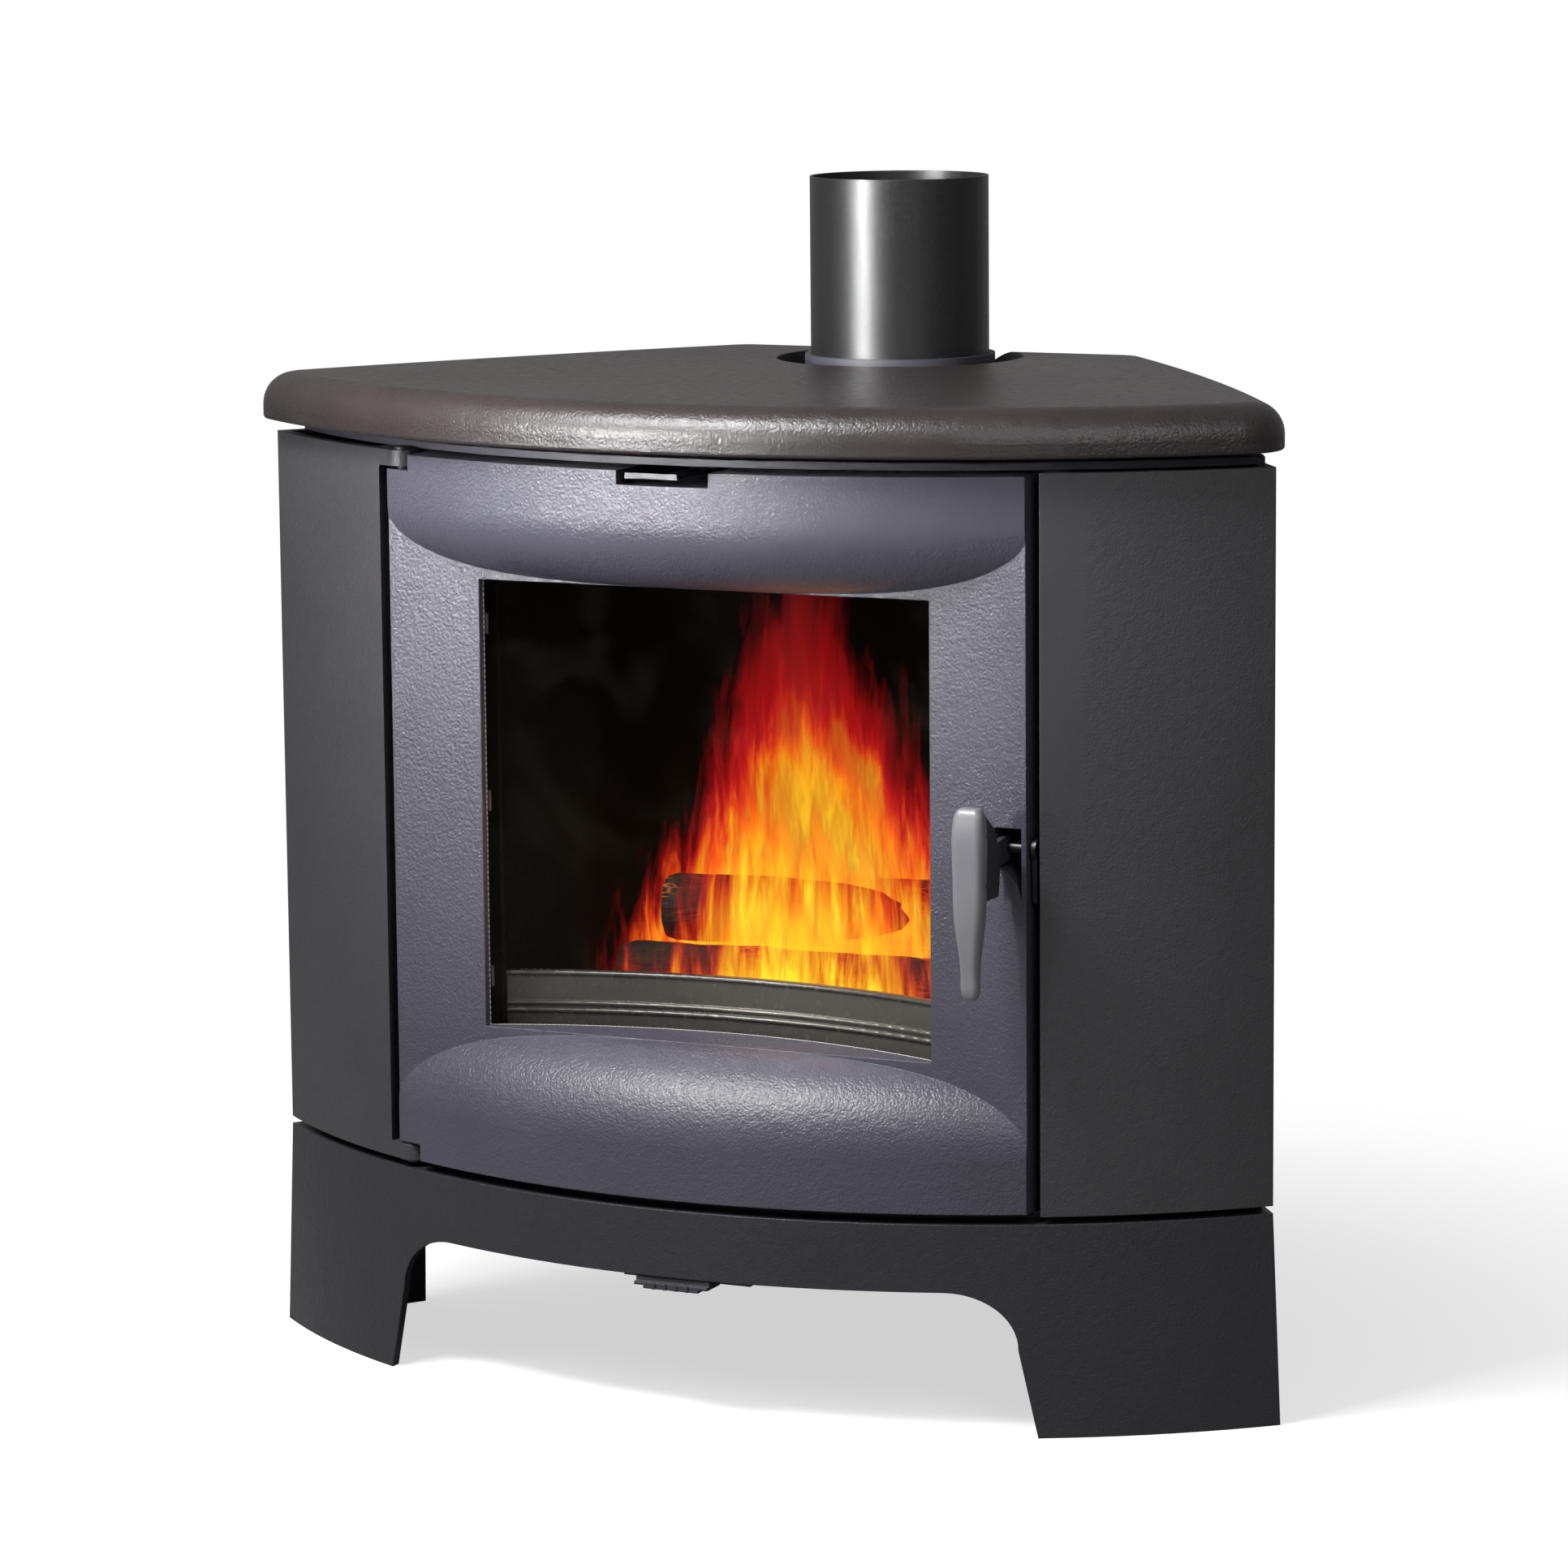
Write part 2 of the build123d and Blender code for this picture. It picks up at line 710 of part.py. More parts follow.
def step_walls():
    low = boss_spans()[0][0] + door_wall
    high = boss_spans()[1][1] - door_wall
    edge = hinge_step_x + door_wall
    walls = block(-half_width, edge, -front_radius, door_back_y + 1, 0, low)
    return walls + block(-half_width, edge, -front_radius, door_back_y + 1, high, lid_top)


def notch_wall():
    return block(-top_notch_left - door_wall, top_notch_right + door_wall, -front_radius, door_back_y + 1,
                 door_top - top_notch_depth - door_wall, lid_top)


def seal_loop(half, bottom, top, y0, y1, width):
    # A rectangular ring of the given bar width about its middle line
    reach = width / 2
    ring = block(-half - reach, half + reach, y0, y1, bottom - reach, top + reach)
    return ring - block(-half + reach, half - reach, y0 - 1, y1 + 1, bottom + reach, top - reach)


def seal_ring(width, y0, y1):
    return seal_loop(seal_half, seal_bottom, seal_top, y0, y1, width)


def seal_flange():
    y0 = door_back_y - seal_flange_depth
    outer = block(-half_width, half_width, y0, door_back_y + 1, 0, lid_top)
    reach = seal_flange_width / 2
    inner = block(-seal_half + reach, seal_half - reach, y0 - 1, door_back_y + 2,
                  seal_bottom + reach, seal_top - reach)
    return outer - inner


def recess_pocket():
    return block(recess_left - recess_wall, half_width, -front_radius, jamb_y + recess_depth + recess_wall,
                 recess_bottom - recess_wall, recess_top + recess_wall)


def latch_recess():
    right = door_half_width - recess_edge_wall
    edges = [
        Line((recess_left, recess_top), (right, recess_top)),
        Line((right, recess_top), (right, recess_bottom)),
        EllipticalCenterArc((recess_left, recess_bottom), right - recess_left, recess_knee - recess_bottom, 0,
                            arc_size=90),
        Line((recess_left, recess_knee), (recess_left, recess_top)),
    ]
    outline = Plane.XZ * make_face(edges)
    return Pos(0, jamb_y + recess_depth, 0) * extrude(outline, amount=2 * recess_depth, dir=(0, -1, 0))


def make_glass():
    half = seat_half - gasket_clearance
    pane = block(-half, half, -front_radius, door_back_y, window_bottom - glass_overlap + gasket_clearance,
                 window_top + glass_overlap - gasket_clearance)
    return (pane & glass_cylinder(glass_radius + glass_thickness)) - glass_cylinder(glass_radius)


def make_gasket():
    half = seat_half - gasket_clearance
    bottom = window_bottom - glass_overlap + gasket_clearance
    top = window_top + glass_overlap - gasket_clearance
    tape = block(-half, half, -front_radius, door_back_y, bottom, top)
    tape -= block(-window_half_width, window_half_width, -front_radius, door_back_y,
                  window_bottom, window_top)
    tape &= glass_cylinder(glass_radius - gasket_clearance)
    return tape - glass_cylinder(glass_radius - glass_seat_gap + gasket_clearance)


def clip_places():
    middle = (window_bottom + window_top) / 2
    x = seat_half + surround_wall / 2
    places = []
    for side in (-1, 1):
        for z in (window_bottom + clip_inset, middle, window_top - clip_inset):
            places.append((side * x, z))
    return places


def screw_axis(x, z, radius, r0, r1):
    # A short rod square to the curved seat behind the glass
    angle = asin(x / surround_radius)
    start = (r0 * sin(angle), glass_centre_y + r0 * cos(angle), z)
    axis = Plane(origin=start, z_dir=(sin(angle), cos(angle), 0))
    return axis * (Pos(0, 0, (r1 - r0) / 2) * Cylinder(radius, r1 - r0))


def clip_plane(x, z, r):
    angle = asin(x / surround_radius)
    origin = (r * sin(angle), glass_centre_y + r * cos(angle), z)
    return Plane(origin=origin, x_dir=(cos(angle), -sin(angle), 0), z_dir=(sin(angle), cos(angle), 0))


def make_clips():
    clips = []
    for x, z in clip_places():
        side = 1 if x > 0 else -1
        flat = clip_plane(x, z, surround_radius + sheet_clearance / 3)
        reach = surround_wall / 2 + clip_overhang
        tongue = seat_rim - 2 * sheet_clearance
        plate = Box(reach + surround_wall / 2, clip_width, clip_thickness)
        plate = Pos(-side * (reach - surround_wall / 2) / 2, 0, clip_thickness / 2) * plate
        leg = Box(clip_thickness, clip_width, tongue + clip_thickness)
        leg = Pos(-side * (reach - clip_thickness / 2), 0, (clip_thickness - tongue) / 2) * leg
        clip = plate + leg - Cylinder(screw_radius, 4 * clip_thickness)
        clips.append(flat * clip)
    return Compound(clips)


def make_clip_screws():
    screws = []
    top = surround_radius + sheet_clearance / 3 + clip_thickness
    for x, z in clip_places():
        shank = screw_axis(x, z, screw_radius, top - seat_rim, top)
        head = screw_axis(x, z, screw_head_radius, top, top + screw_head_height)
        screws.append(shank + head)
    return Compound(screws)


def make_seal_rope():
    rope = seal_ring(seal_width - 2 * seal_clearance, door_back_y - seal_groove_depth + seal_clearance,
                     frame_front_y - seal_clearance)
    return fillet(rope.faces().sort_by(Axis.Y)[-1].edges(), seal_gap / 2)


# Hinge hardware
def make_hinge_pins():
    low, high = hinge_tab_spans()
    head = rod(hinge_head_radius, hinge_x, hinge_y, low[0] - hinge_head_height, low[0])
    lower = head + rod(hinge_pin_radius, hinge_x, hinge_y, low[0], low[1] + hinge_pin_reach)
    cap = rod(hinge_head_radius, hinge_x, hinge_y, high[1], high[1] + hinge_head_height)
    upper = cap + rod(hinge_pin_radius, hinge_x, hinge_y, high[0] - hinge_pin_reach, high[1])
    return lower, upper


def make_bushes():
    bushes = []
    for z0, z1 in boss_spans():
        ring = rod(hinge_pin_radius + bush_wall, hinge_x, hinge_y, z0, z1)
        bushes.append(ring - rod(hinge_pin_radius + hinge_fit, hinge_x, hinge_y, z0 - 1, z1 + 1))
    return Compound(bushes)


def make_washer():
    z0 = hinge_tab_spans()[0][1]
    z1 = boss_spans()[0][0] - sheet_clearance
    washer = rod(washer_outer_radius, hinge_x, hinge_y, z0, z1)
    return washer - rod(hinge_pin_radius + hinge_fit, hinge_x, hinge_y, z0 - 1, z1 + 1)


# Handle and latch
def make_shaft():
    start = recess_left - recess_wall + sheet_clearance
    shaft = rod_x(shaft_radius, start, hook_start + hook_thickness, shaft_y, shaft_height)
    for x0, x1 in ((lever_start, lever_end), (hook_start, hook_start + hook_thickness)):
        shaft -= rod_x(2 * shaft_radius, x0, x1, shaft_y, shaft_height)
        shaft += block(x0, x1, shaft_y - shaft_flat, shaft_y + shaft_flat,
                       shaft_height - shaft_flat, shaft_height + shaft_flat)
    return shaft


def shaft_square(x0, x1):
    return block(x0 - 1, x1 + 1, shaft_y - shaft_flat, shaft_y + shaft_flat,
                 shaft_height - shaft_flat, shaft_height + shaft_flat)


def make_lever():
    # A swan-necked plate: hub in the recess, broad head behind the grip
    outline = [
        (0, lever_hub_radius),
        (-lever_neck_run, lever_neck_rise),
        (-lever_bend_run, lever_bend_rise),
        (-lever_swan_run, lever_swan_rise),
        (-lever_head_run, lever_head_above),
        (-lever_reach, lever_head_above),
        (-lever_reach, -lever_head_below),
        (-lever_tail_run, -lever_head_below),
        (-lever_neck_run, -lever_neck_drop),
        (0, -lever_hub_radius),
    ]
    points = [(shaft_y + y, shaft_height + z) for y, z in outline]
    plate = side_profile(points, lever_start, lever_end)
    plate += rod_x(lever_hub_radius, lever_start, lever_end, shaft_y, shaft_height)
    for hole in grip_screws_at(screw_radius, lever_start - 1, lever_end + 1):
        plate -= hole
    return plate - shaft_square(lever_start, lever_end)


def make_hook():
    nose = hook_reach - hook_nose_length
    outline = [
        (-hook_tail_half, hook_shoulder),
        (hook_shoulder, hook_shoulder),
        (hook_arm_start, hook_arm_top),
        (nose - hook_nose_slope, hook_arm_top),
        (nose, hook_nose_height),
        (hook_reach, hook_nose_height),
        (hook_reach, hook_nose_chamfer - hook_arm_bottom),
        (hook_reach - hook_nose_chamfer, -hook_arm_bottom),
        (hook_tail_half + hook_tail_flare, -hook_arm_bottom),
        (hook_tail_half, -hook_arm_bottom - hook_tail_flare),
        (hook_tail_half, -hook_tail),
        (-hook_tail_half, -hook_tail),
        (-hook_shoulder, -hook_shoulder),
    ]
    points = [(shaft_y + y, shaft_height + z) for y, z in outline]
    plate = side_profile(points, hook_start, hook_start + hook_thickness)
    plate += rod_x(hook_hub_radius, hook_start, hook_start + hook_thickness, shaft_y, shaft_height)
    return plate - shaft_square(hook_start, hook_start + hook_thickness)


def make_keeper():
    y = shaft_y + keeper_setback
    z = shaft_height + keeper_rise
    face = panel_half_width
    pin = rod_x(keeper_radius, face - keeper_reach, face, y, z)
    return pin + rod_x(keeper_disc_radius, face - keeper_disc, face, y, z)


def make_grip():
    # Lofted through rounded sections, flatter and narrower towards the tail
    front = shaft_y - lever_reach + grip_seat
    top = shaft_height + grip_top_above_shaft
    faces = []
    for along, across, deep in grip_sections:
        width = across * grip_width
        depth = deep * grip_depth
        section = RectangleRounded(width, depth, min(width, depth) * grip_corner_share)
        y = front - grip_depth / 2 + (grip_depth - depth) * grip_back_share
        faces.append(Pos(grip_x, y, top - along * grip_length) * section)
    body = loft(faces)
    body -= grip_slot()
    for hole in grip_screws_at(screw_radius, lever_start - grip_screw_reach, half_width):
        body -= hole
    return body


def grip_slot():
    z0 = shaft_height - lever_head_below - grip_clearance
    z1 = shaft_height + lever_head_above + grip_clearance
    return block(lever_start - grip_clearance, lever_end + grip_clearance,
                 shaft_y - lever_reach - grip_clearance, shaft_y, z0, z1)


def grip_screws_at(radius, x0, x1):
    screws = []
    y = shaft_y - lever_reach + grip_seat / 2
    upper = shaft_height + lever_head_above - grip_screw_inset
    lower = shaft_height - lever_head_below + grip_screw_inset
    for z in (upper, lower):
        screws.append(rod_x(radius, x0, x1, y, z))
    return screws


def make_grip_screws():
    x0 = lever_start - grip_screw_reach
    x1 = lever_end + grip_screw_reach
    return Compound(grip_screws_at(screw_radius, x0, x1))


# Firebox
def shell_half(y, inset):
    # Inner half width of the firebox at a depth, moved in by inset along X
    share = (y - frame_back_y) / (shell_back_y - frame_back_y)
    return shell_front_half_width + share * (shell_rear_half_width - shell_front_half_width) - inset


def firebox_prism(inset, y0, y1, z0, z1):
    across = inset / cos(shell_lean)
    a = shell_half(y0, across)
    b = shell_half(y1, across)
    return prism([(-a, y0), (a, y0), (b, y1), (-b, y1)], z0, z1)


def make_shell():
    outer = firebox_prism(0, frame_back_y, shell_back_y, floor_plate_top, panel_top)
    inner = firebox_prism(shell_wall, frame_back_y - 1, shell_back_y - shell_wall,
                          floor_plate_top - 1, panel_top + 1)
    return outer - inner


def make_frame():
    plate = block(-frame_half_width, frame_half_width, frame_front_y, frame_back_y,
                  floor_plate_top, panel_top)
    plate -= block(-opening_half_width, opening_half_width, frame_front_y - 1, frame_back_y + 1,
                   opening_bottom, opening_top)
    return plate - secondary_slot()


def secondary_slot():
    left = secondary_tab_left + secondary_tab_width - secondary_stem_width - slider_clearance
    right = secondary_tab_left + secondary_tab_width + secondary_travel + slider_clearance
    z0, z1 = secondary_span()
    return block(left, right, frame_front_y - 1, frame_back_y + 1,
                 z0 - slider_clearance, z1 + slider_clearance)


def secondary_span():
    z0 = door_top - top_notch_depth + secondary_tab_rise
    return z0, z0 + secondary_plate


def make_hearth():
    y0 = frame_back_y + hearth_clearance
    y1 = shell_back_y - shell_wall - hearth_clearance
    plate = firebox_prism(shell_wall + hearth_clearance, y0, y1, hearth_top - hearth_thickness, hearth_top)
    plate -= block(-grate_half_width, grate_half_width, grate_front, grate_rear, hearth_top - grate_ledge / 2,
                   hearth_top + 1)
    return plate - block(-grate_half_width + grate_ledge, grate_half_width - grate_ledge,
                         grate_front + grate_ledge, grate_rear - grate_ledge, 0, hearth_top + 1)


def make_grate():
    half = grate_half_width - grate_clearance
    y0 = grate_front + grate_clearance
    y1 = grate_rear - grate_clearance
    z0 = hearth_top - grate_ledge / 2
    grate = block(-half, half, y0, y1, z0, z0 + grate_thickness)
    pitch = 2 * (half - 2 * grate_ledge) / grate_bars
    for index in range(grate_bars):
        x = -half + 2 * grate_ledge + (index + 0.5) * pitch
        slot = SlotOverall(y1 - y0 - 4 * grate_ledge, pitch * grate_slot_share, rotation=90)
        slot = extrude(slot, amount=2 * grate_thickness, both=True)
        grate -= Pos(x, (y0 + y1) / 2, z0) * slot
    return grate


def make_ash_box():
    z1 = hearth_top - hearth_thickness
    y0 = frame_back_y
    box = block(-ash_box_half_width, ash_box_half_width, y0, ash_box_rear, ash_box_floor, z1)
    box -= block(-ash_box_half_width + ash_box_wall, ash_box_half_width - ash_box_wall, y0 - 1,
                 ash_box_rear - ash_box_wall, ash_box_floor + ash_box_wall, z1 + 1)
    for side in (-1, 1):
        x = side * (ash_box_half_width - ash_box_wall / 2)
        box += block(x - ash_box_wall / 2, x + ash_box_wall / 2, y0, ash_box_rear,
                     floor_plate_top, ash_box_floor)
    return box


def make_ash_pan():
    half = ash_box_half_width - ash_box_wall - ash_pan_clearance
    z0 = ash_box_floor + ash_box_wall
    y0 = frame_back_y + ash_pan_front
    y1 = ash_box_rear - ash_box_wall - ash_pan_clearance
    pan = block(-half, half, y0, y1, z0, z0 + ash_pan_height)
    pan -= block(-half + ash_pan_wall, half - ash_pan_wall, y0 + ash_pan_wall, y1 - ash_pan_wall,
                 z0 + ash_pan_wall, z0 + ash_pan_height + 1)
    z1 = z0 + ash_pan_handle_height
    handle = block(-ash_pan_handle_half, ash_pan_handle_half, y0 - ash_pan_front, y0, z1, z1 + ash_pan_front)
    return pan + handle


def make_side_brick():
    y0 = frame_back_y + hearth_clearance
    y1 = shell_back_y - shell_wall - brick_thickness - 2 * brick_clearance
    inset = shell_wall + brick_clearance
    outer = firebox_prism(inset, y0, y1, hearth_top, brick_top)
    inner = firebox_prism(inset + brick_thickness, y0 - 1, y1 + 1, hearth_top - 1, brick_top + 1)
    return (outer - inner) & block(0, half_width, y0 - 1, y1 + 1, 0, lid_top)


def make_rear_brick():
    y1 = shell_back_y - shell_wall - brick_clearance
    return firebox_prism(shell_wall + brick_clearance, y1 - brick_thickness, y1, hearth_top, brick_top)


def baffle_back_y():
    return shell_back_y - shell_wall - brick_clearance


def baffle_underside(y):
    # The slab rises from the rear brick's top towards the front
    share = (baffle_back_y() - y) / (baffle_back_y() - baffle_front)
    return brick_top + share * baffle_rise


def make_baffle():
    y0 = baffle_front
    y1 = baffle_back_y()
    half = shell_half(y1, (shell_wall + 2 * brick_clearance) / cos(shell_lean))
    points = [
        (y0, baffle_underside(y0)),
        (y1, baffle_underside(y1)),
        (y1, baffle_underside(y1) + baffle_thickness),
        (y0, baffle_underside(y0) + baffle_thickness),
    ]
    return side_profile(points, -half, half)


def make_rails():
    # Two wedges on the side bricks that carry the baffle
    y0 = baffle_front
    y1 = baffle_back_y() - brick_thickness - brick_clearance
    points = [
        (y0, brick_top),
        (y1, brick_top),
        (y1, baffle_underside(y1) - sheet_clearance),
        (y0, baffle_underside(y0) - sheet_clearance),
    ]
    inner = shell_half(y1, 2 * baffle_rail)
    rail = side_profile(points, inner, inner + baffle_rail)
    return Compound([rail, mirrored(rail)])


def make_collar():
    z0 = top_plate_top
    outer = flue_outer_radius + collar_wall
    collar = rod(outer, 0, flue_y, z0, z0 + collar_height)
    return collar - rod(flue_outer_radius + flue_fit, 0, flue_y, z0 - 1, z0 + collar_height + 1)


def make_pipe():
    z0 = panel_top + sheet_clearance
    z1 = lid_top + flue_height_above_lid
    pipe = rod(flue_outer_radius, 0, flue_y, z0, z1)
    return pipe - rod(flue_outer_radius - flue_wall, 0, flue_y, z0 - 1, z1 + 1)


def make_guard():
    # A curved fence behind the glass, with one bead on top and two below it
    inner = surround_radius + guard_radius_step - seat_rim
    half = guard_half_width
    fence = block(-half, half, -front_radius, shell_back_y, hearth_top, guard_top)
    fence = (fence & glass_cylinder(inner + guard_thickness)) - glass_cylinder(inner)
    for drop in guard_bead_drops:
        fence += guard_bead_at(inner, guard_top - drop)
    return fence


def guard_bead_at(inner, z):
    angle = degrees(asin(guard_half_width / inner))
    start = (-guard_half_width, glass_centre_y + inner * cos(radians(angle)), z)
    path = ThreePointArc(start, (0, glass_centre_y + inner, z), (guard_half_width, start[1], z))
    section = Plane(origin=start, z_dir=path % 0) * Circle(guard_bead)
    return sweep(section, path=path)


# Air controls
def make_secondary_slider():
    z0, z1 = secondary_span()
    tab_right = secondary_tab_left + secondary_tab_width
    front = arc_y - front_radius + secondary_tab_setback
    tab = block(secondary_tab_left, tab_right, front, front + secondary_tab_length, z0, z1)
    tab += block(secondary_tab_left, tab_right, front, front + secondary_plate, z0, z1 + secondary_plate / 2)
    stem = block(tab_right - secondary_stem_width, tab_right, front, frame_back_y + secondary_plate, z0, z1)
    half = secondary_plate_width / 2
    y0 = frame_back_y + slider_clearance
    plate = block(-half, half, y0, y0 + secondary_plate_depth, z0, z1)
    for index in range(secondary_holes):
        x = -half + (index + 0.5) * secondary_plate_width / secondary_holes
        plate -= rod(secondary_hole, x, y0 + secondary_plate_depth / 2, z0 - 1, z1 + 1)
    return tab + stem + plate


def make_secondary_guide():
    # An angled tray under the top plate that carries the slider
    z0, z1 = secondary_span()
    half = secondary_plate_width / 2 + secondary_travel + guide_wall
    y0 = frame_back_y
    y1 = y0 + secondary_plate_depth + 2 * slider_clearance + guide_wall
    bottom = z0 - slider_clearance - guide_wall
    tray = block(-half, half, y0, y1, bottom, panel_top)
    tray -= block(-half - 1, half + 1, y0 - 1, y1 - guide_wall, z0 - slider_clearance, panel_top + 1)
    for index in range(secondary_holes):
        x = -secondary_plate_width / 2 + (index + 0.5) * secondary_plate_width / secondary_holes
        tray -= rod(secondary_hole, x, y0 + secondary_plate_depth / 2 + slider_clearance, bottom - 1, z0 + 1)
    return tray


def primary_box_y():
    return arc_y - front_radius + primary_box_front_gap


def primary_plate_top():
    return primary_box_bottom - slider_clearance


def make_primary_box():
    y0 = primary_box_y()
    y1 = y0 + primary_box_depth
    half = primary_box_half_width
    box = block(-half, half, y0, y1, primary_box_bottom, base_height)
    box -= block(-half + guide_wall, half - guide_wall, y0 + guide_wall, y1 - guide_wall,
                 primary_box_bottom + guide_wall, base_height + 1)
    port = primary_port_half_width
    box -= block(-port, port, y0 + primary_box_rim, y1 - primary_box_rim, 0, base_height)
    reach = primary_plate_half_width + primary_travel + slider_clearance
    low = primary_plate_top() - primary_plate - slider_clearance - guide_wall
    for side in (-1, 1):
        inner = side * reach
        lip = side * (reach - 2 * guide_wall)
        outer = side * (reach + guide_wall)
        box += block(min(inner, outer), max(inner, outer), y0, y1, low, primary_box_bottom)
    for y in (y0, y1 - primary_box_rim):
        box += block(-reach - guide_wall, reach + guide_wall, y, y + primary_box_rim, low, low + guide_wall)
    return box


def make_primary_slider():
    z1 = primary_plate_top()
    z0 = z1 - primary_plate
    half = primary_plate_half_width
    front = arc_y - front_radius
    y1 = primary_box_y() + primary_box_depth - 2 * primary_box_rim
    plate = block(-half, half, front, y1, z0, z1)
    tab_front = front - primary_overreach
    tab_back = front + primary_tab_length
    low = z0 - primary_drop
    plate += block(-half, half, tab_front, tab_back, low, z0)
    for x0, x1 in ((-half - 1, -half + primary_step), (half - primary_step, half + 1)):
        plate -= block(x0, x1, tab_front - 1, tab_back + 1, low - 1, z0 - primary_drop / 2)
    pitch = (2 * half - 2 * primary_step) / (primary_tab_ridges + 1)
    for index in range(primary_tab_ridges):
        x = -half + primary_step + (index + 1) * pitch
        plate += block(x - ridge_half, x + ridge_half, tab_front - ridge_half, tab_front, low, z0)
    return plate


def make_firewood():
    # Two logs on the grate and a third across them
    z0 = hearth_top - grate_ledge / 2 + grate_thickness + log_clearance
    y_front = grate_front + log_radius
    logs = []
    for index, turn in enumerate(log_turns):
        log = Rot(0, 90, 0) * Cylinder(log_radius, log_length)
        logs.append(Pos(0, y_front + index * log_spacing, z0 + log_radius) * Rot(0, 0, turn) * log)
    top = Rot(0, 90, 0) * Cylinder(top_log_radius, top_log_length)
    rise = z0 + 2 * log_radius + top_log_radius + log_clearance - log_nest
    logs.append(Pos(0, y_front + log_spacing / 2, rise) * Rot(0, 0, top_log_turn) * top)
    return Compound(logs)


def base_bolt_places():
    # Two bolts behind the front arc, two along each side and two at the back
    front_x = (panel_half_width + half_width) / 2
    radius = front_radius - bolt_inset
    places = [(front_x, arc_y - sqrt(radius ** 2 - front_x ** 2))]
    for share in bolt_side_shares:
        x = half_width + side_along[0] * side_run * share + side_inward[0] * bolt_inset
        y = side_along[1] * side_run * share + side_inward[1] * bolt_inset
        places.append((x, y))
    return places + [(-x, y) for x, y in places]


def make_base_bolts():
    bolts = []
    low = base_height - base_deck
    for x, y in base_bolt_places():
        hexagon = extrude(RegularPolygon(bolt_head_radius, 6), amount=bolt_head, dir=(0, 0, 1))
        head = Pos(x, y, low - bolt_head) * hexagon
        nut = Pos(x, y, floor_plate_top) * hexagon
        bolts.append(head + nut + rod(bolt_radius, x, y, low, floor_plate_top + 2 * bolt_head))
    return Compound(bolts)


def main():
    os.makedirs("parts", exist_ok=True)
    lower_pin, upper_pin = make_hinge_pins()
    parts = {
        "lid": make_lid(),
        "top_plate": make_top_plate(),
        "floor_plate": make_floor_plate(),
        "base": make_base(),
        "left_side_panel": make_left_panel(),
        "right_side_panel": make_right_panel(),
        "left_rear_casing": mirrored(make_rear_casing()),
        "right_rear_casing": make_rear_casing(),
        "rear_panel": make_rear_panel(),
        "door_casting": make_door(),
        "door_glass": make_glass(),
        "glass_gasket": make_gasket(),
        "glass_clips": make_clips(),
        "clip_screws": make_clip_screws(),
        "door_seal_rope": make_seal_rope(),
        "lower_hinge_pin": lower_pin,
        "upper_hinge_pin": upper_pin,
        "hinge_bushes": make_bushes(),
        "hinge_washer": make_washer(),
        "latch_shaft": make_shaft(),
        "latch_lever": make_lever(),
        "latch_hook": make_hook(),
        "latch_keeper": make_keeper(),
        "handle_grip": make_grip(),
        "grip_screws": make_grip_screws(),
        "firebox_shell": make_shell(),
        "firebox_front": make_frame(),
        "hearth_plate": make_hearth(),
        "grate": make_grate(),
        "ash_box": make_ash_box(),
        "ash_pan": make_ash_pan(),
        "left_brick": mirrored(make_side_brick()),
        "right_brick": make_side_brick(),
        "rear_brick": make_rear_brick(),
        "baffle_plate": make_baffle(),
        "baffle_rails": make_rails(),
        "flue_collar": make_collar(),
        "flue_pipe": make_pipe(),
        "log_guard": make_guard(),
        "secondary_air_slider": make_secondary_slider(),
        "secondary_air_guide": make_secondary_guide(),
        "primary_air_box": make_primary_box(),
        "primary_air_slider": make_primary_slider(),
        "firewood": make_firewood(),
        "base_bolts": make_base_bolts(),
    }
    for name, shape in parts.items():
        write(shape, name)


main()
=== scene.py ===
import math
import bmesh
import bpy
from mathutils import Matrix, Vector, noise


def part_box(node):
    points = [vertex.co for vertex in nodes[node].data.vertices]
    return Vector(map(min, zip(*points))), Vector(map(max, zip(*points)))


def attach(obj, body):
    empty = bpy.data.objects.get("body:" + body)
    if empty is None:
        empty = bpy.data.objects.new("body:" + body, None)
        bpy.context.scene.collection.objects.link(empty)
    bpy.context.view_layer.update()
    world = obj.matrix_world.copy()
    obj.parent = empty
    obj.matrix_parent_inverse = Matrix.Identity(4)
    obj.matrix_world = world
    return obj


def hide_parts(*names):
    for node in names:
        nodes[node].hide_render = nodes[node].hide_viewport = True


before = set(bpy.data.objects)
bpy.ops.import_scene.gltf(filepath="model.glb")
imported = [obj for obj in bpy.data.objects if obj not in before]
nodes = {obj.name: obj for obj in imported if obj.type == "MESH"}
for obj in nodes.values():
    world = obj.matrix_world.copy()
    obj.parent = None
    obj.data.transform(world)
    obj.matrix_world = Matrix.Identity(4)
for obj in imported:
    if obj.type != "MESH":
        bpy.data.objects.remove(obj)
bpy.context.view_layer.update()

# Camera, in metres and degrees
camera_target = (0.017, -0.0873, 0.4852)
camera_distance = 4.7414
camera_yaw = 24.84
camera_pitch = 8.954
camera_roll = -0.511
camera_lens = 134.92
camera_sensor = 36.0

# Studio
backdrop_colour = (1.0, 1.0, 1.0)
floor_colour = (0.88, 0.88, 0.88)
floor_bounce = 0.22
floor_size = 14.0
floor_steps = 8
floor_lift = 0.62
floor_fade_start = 0.35
floor_fade_end = 1.15
ambient_strength = 0.30
light_target_y = -0.05
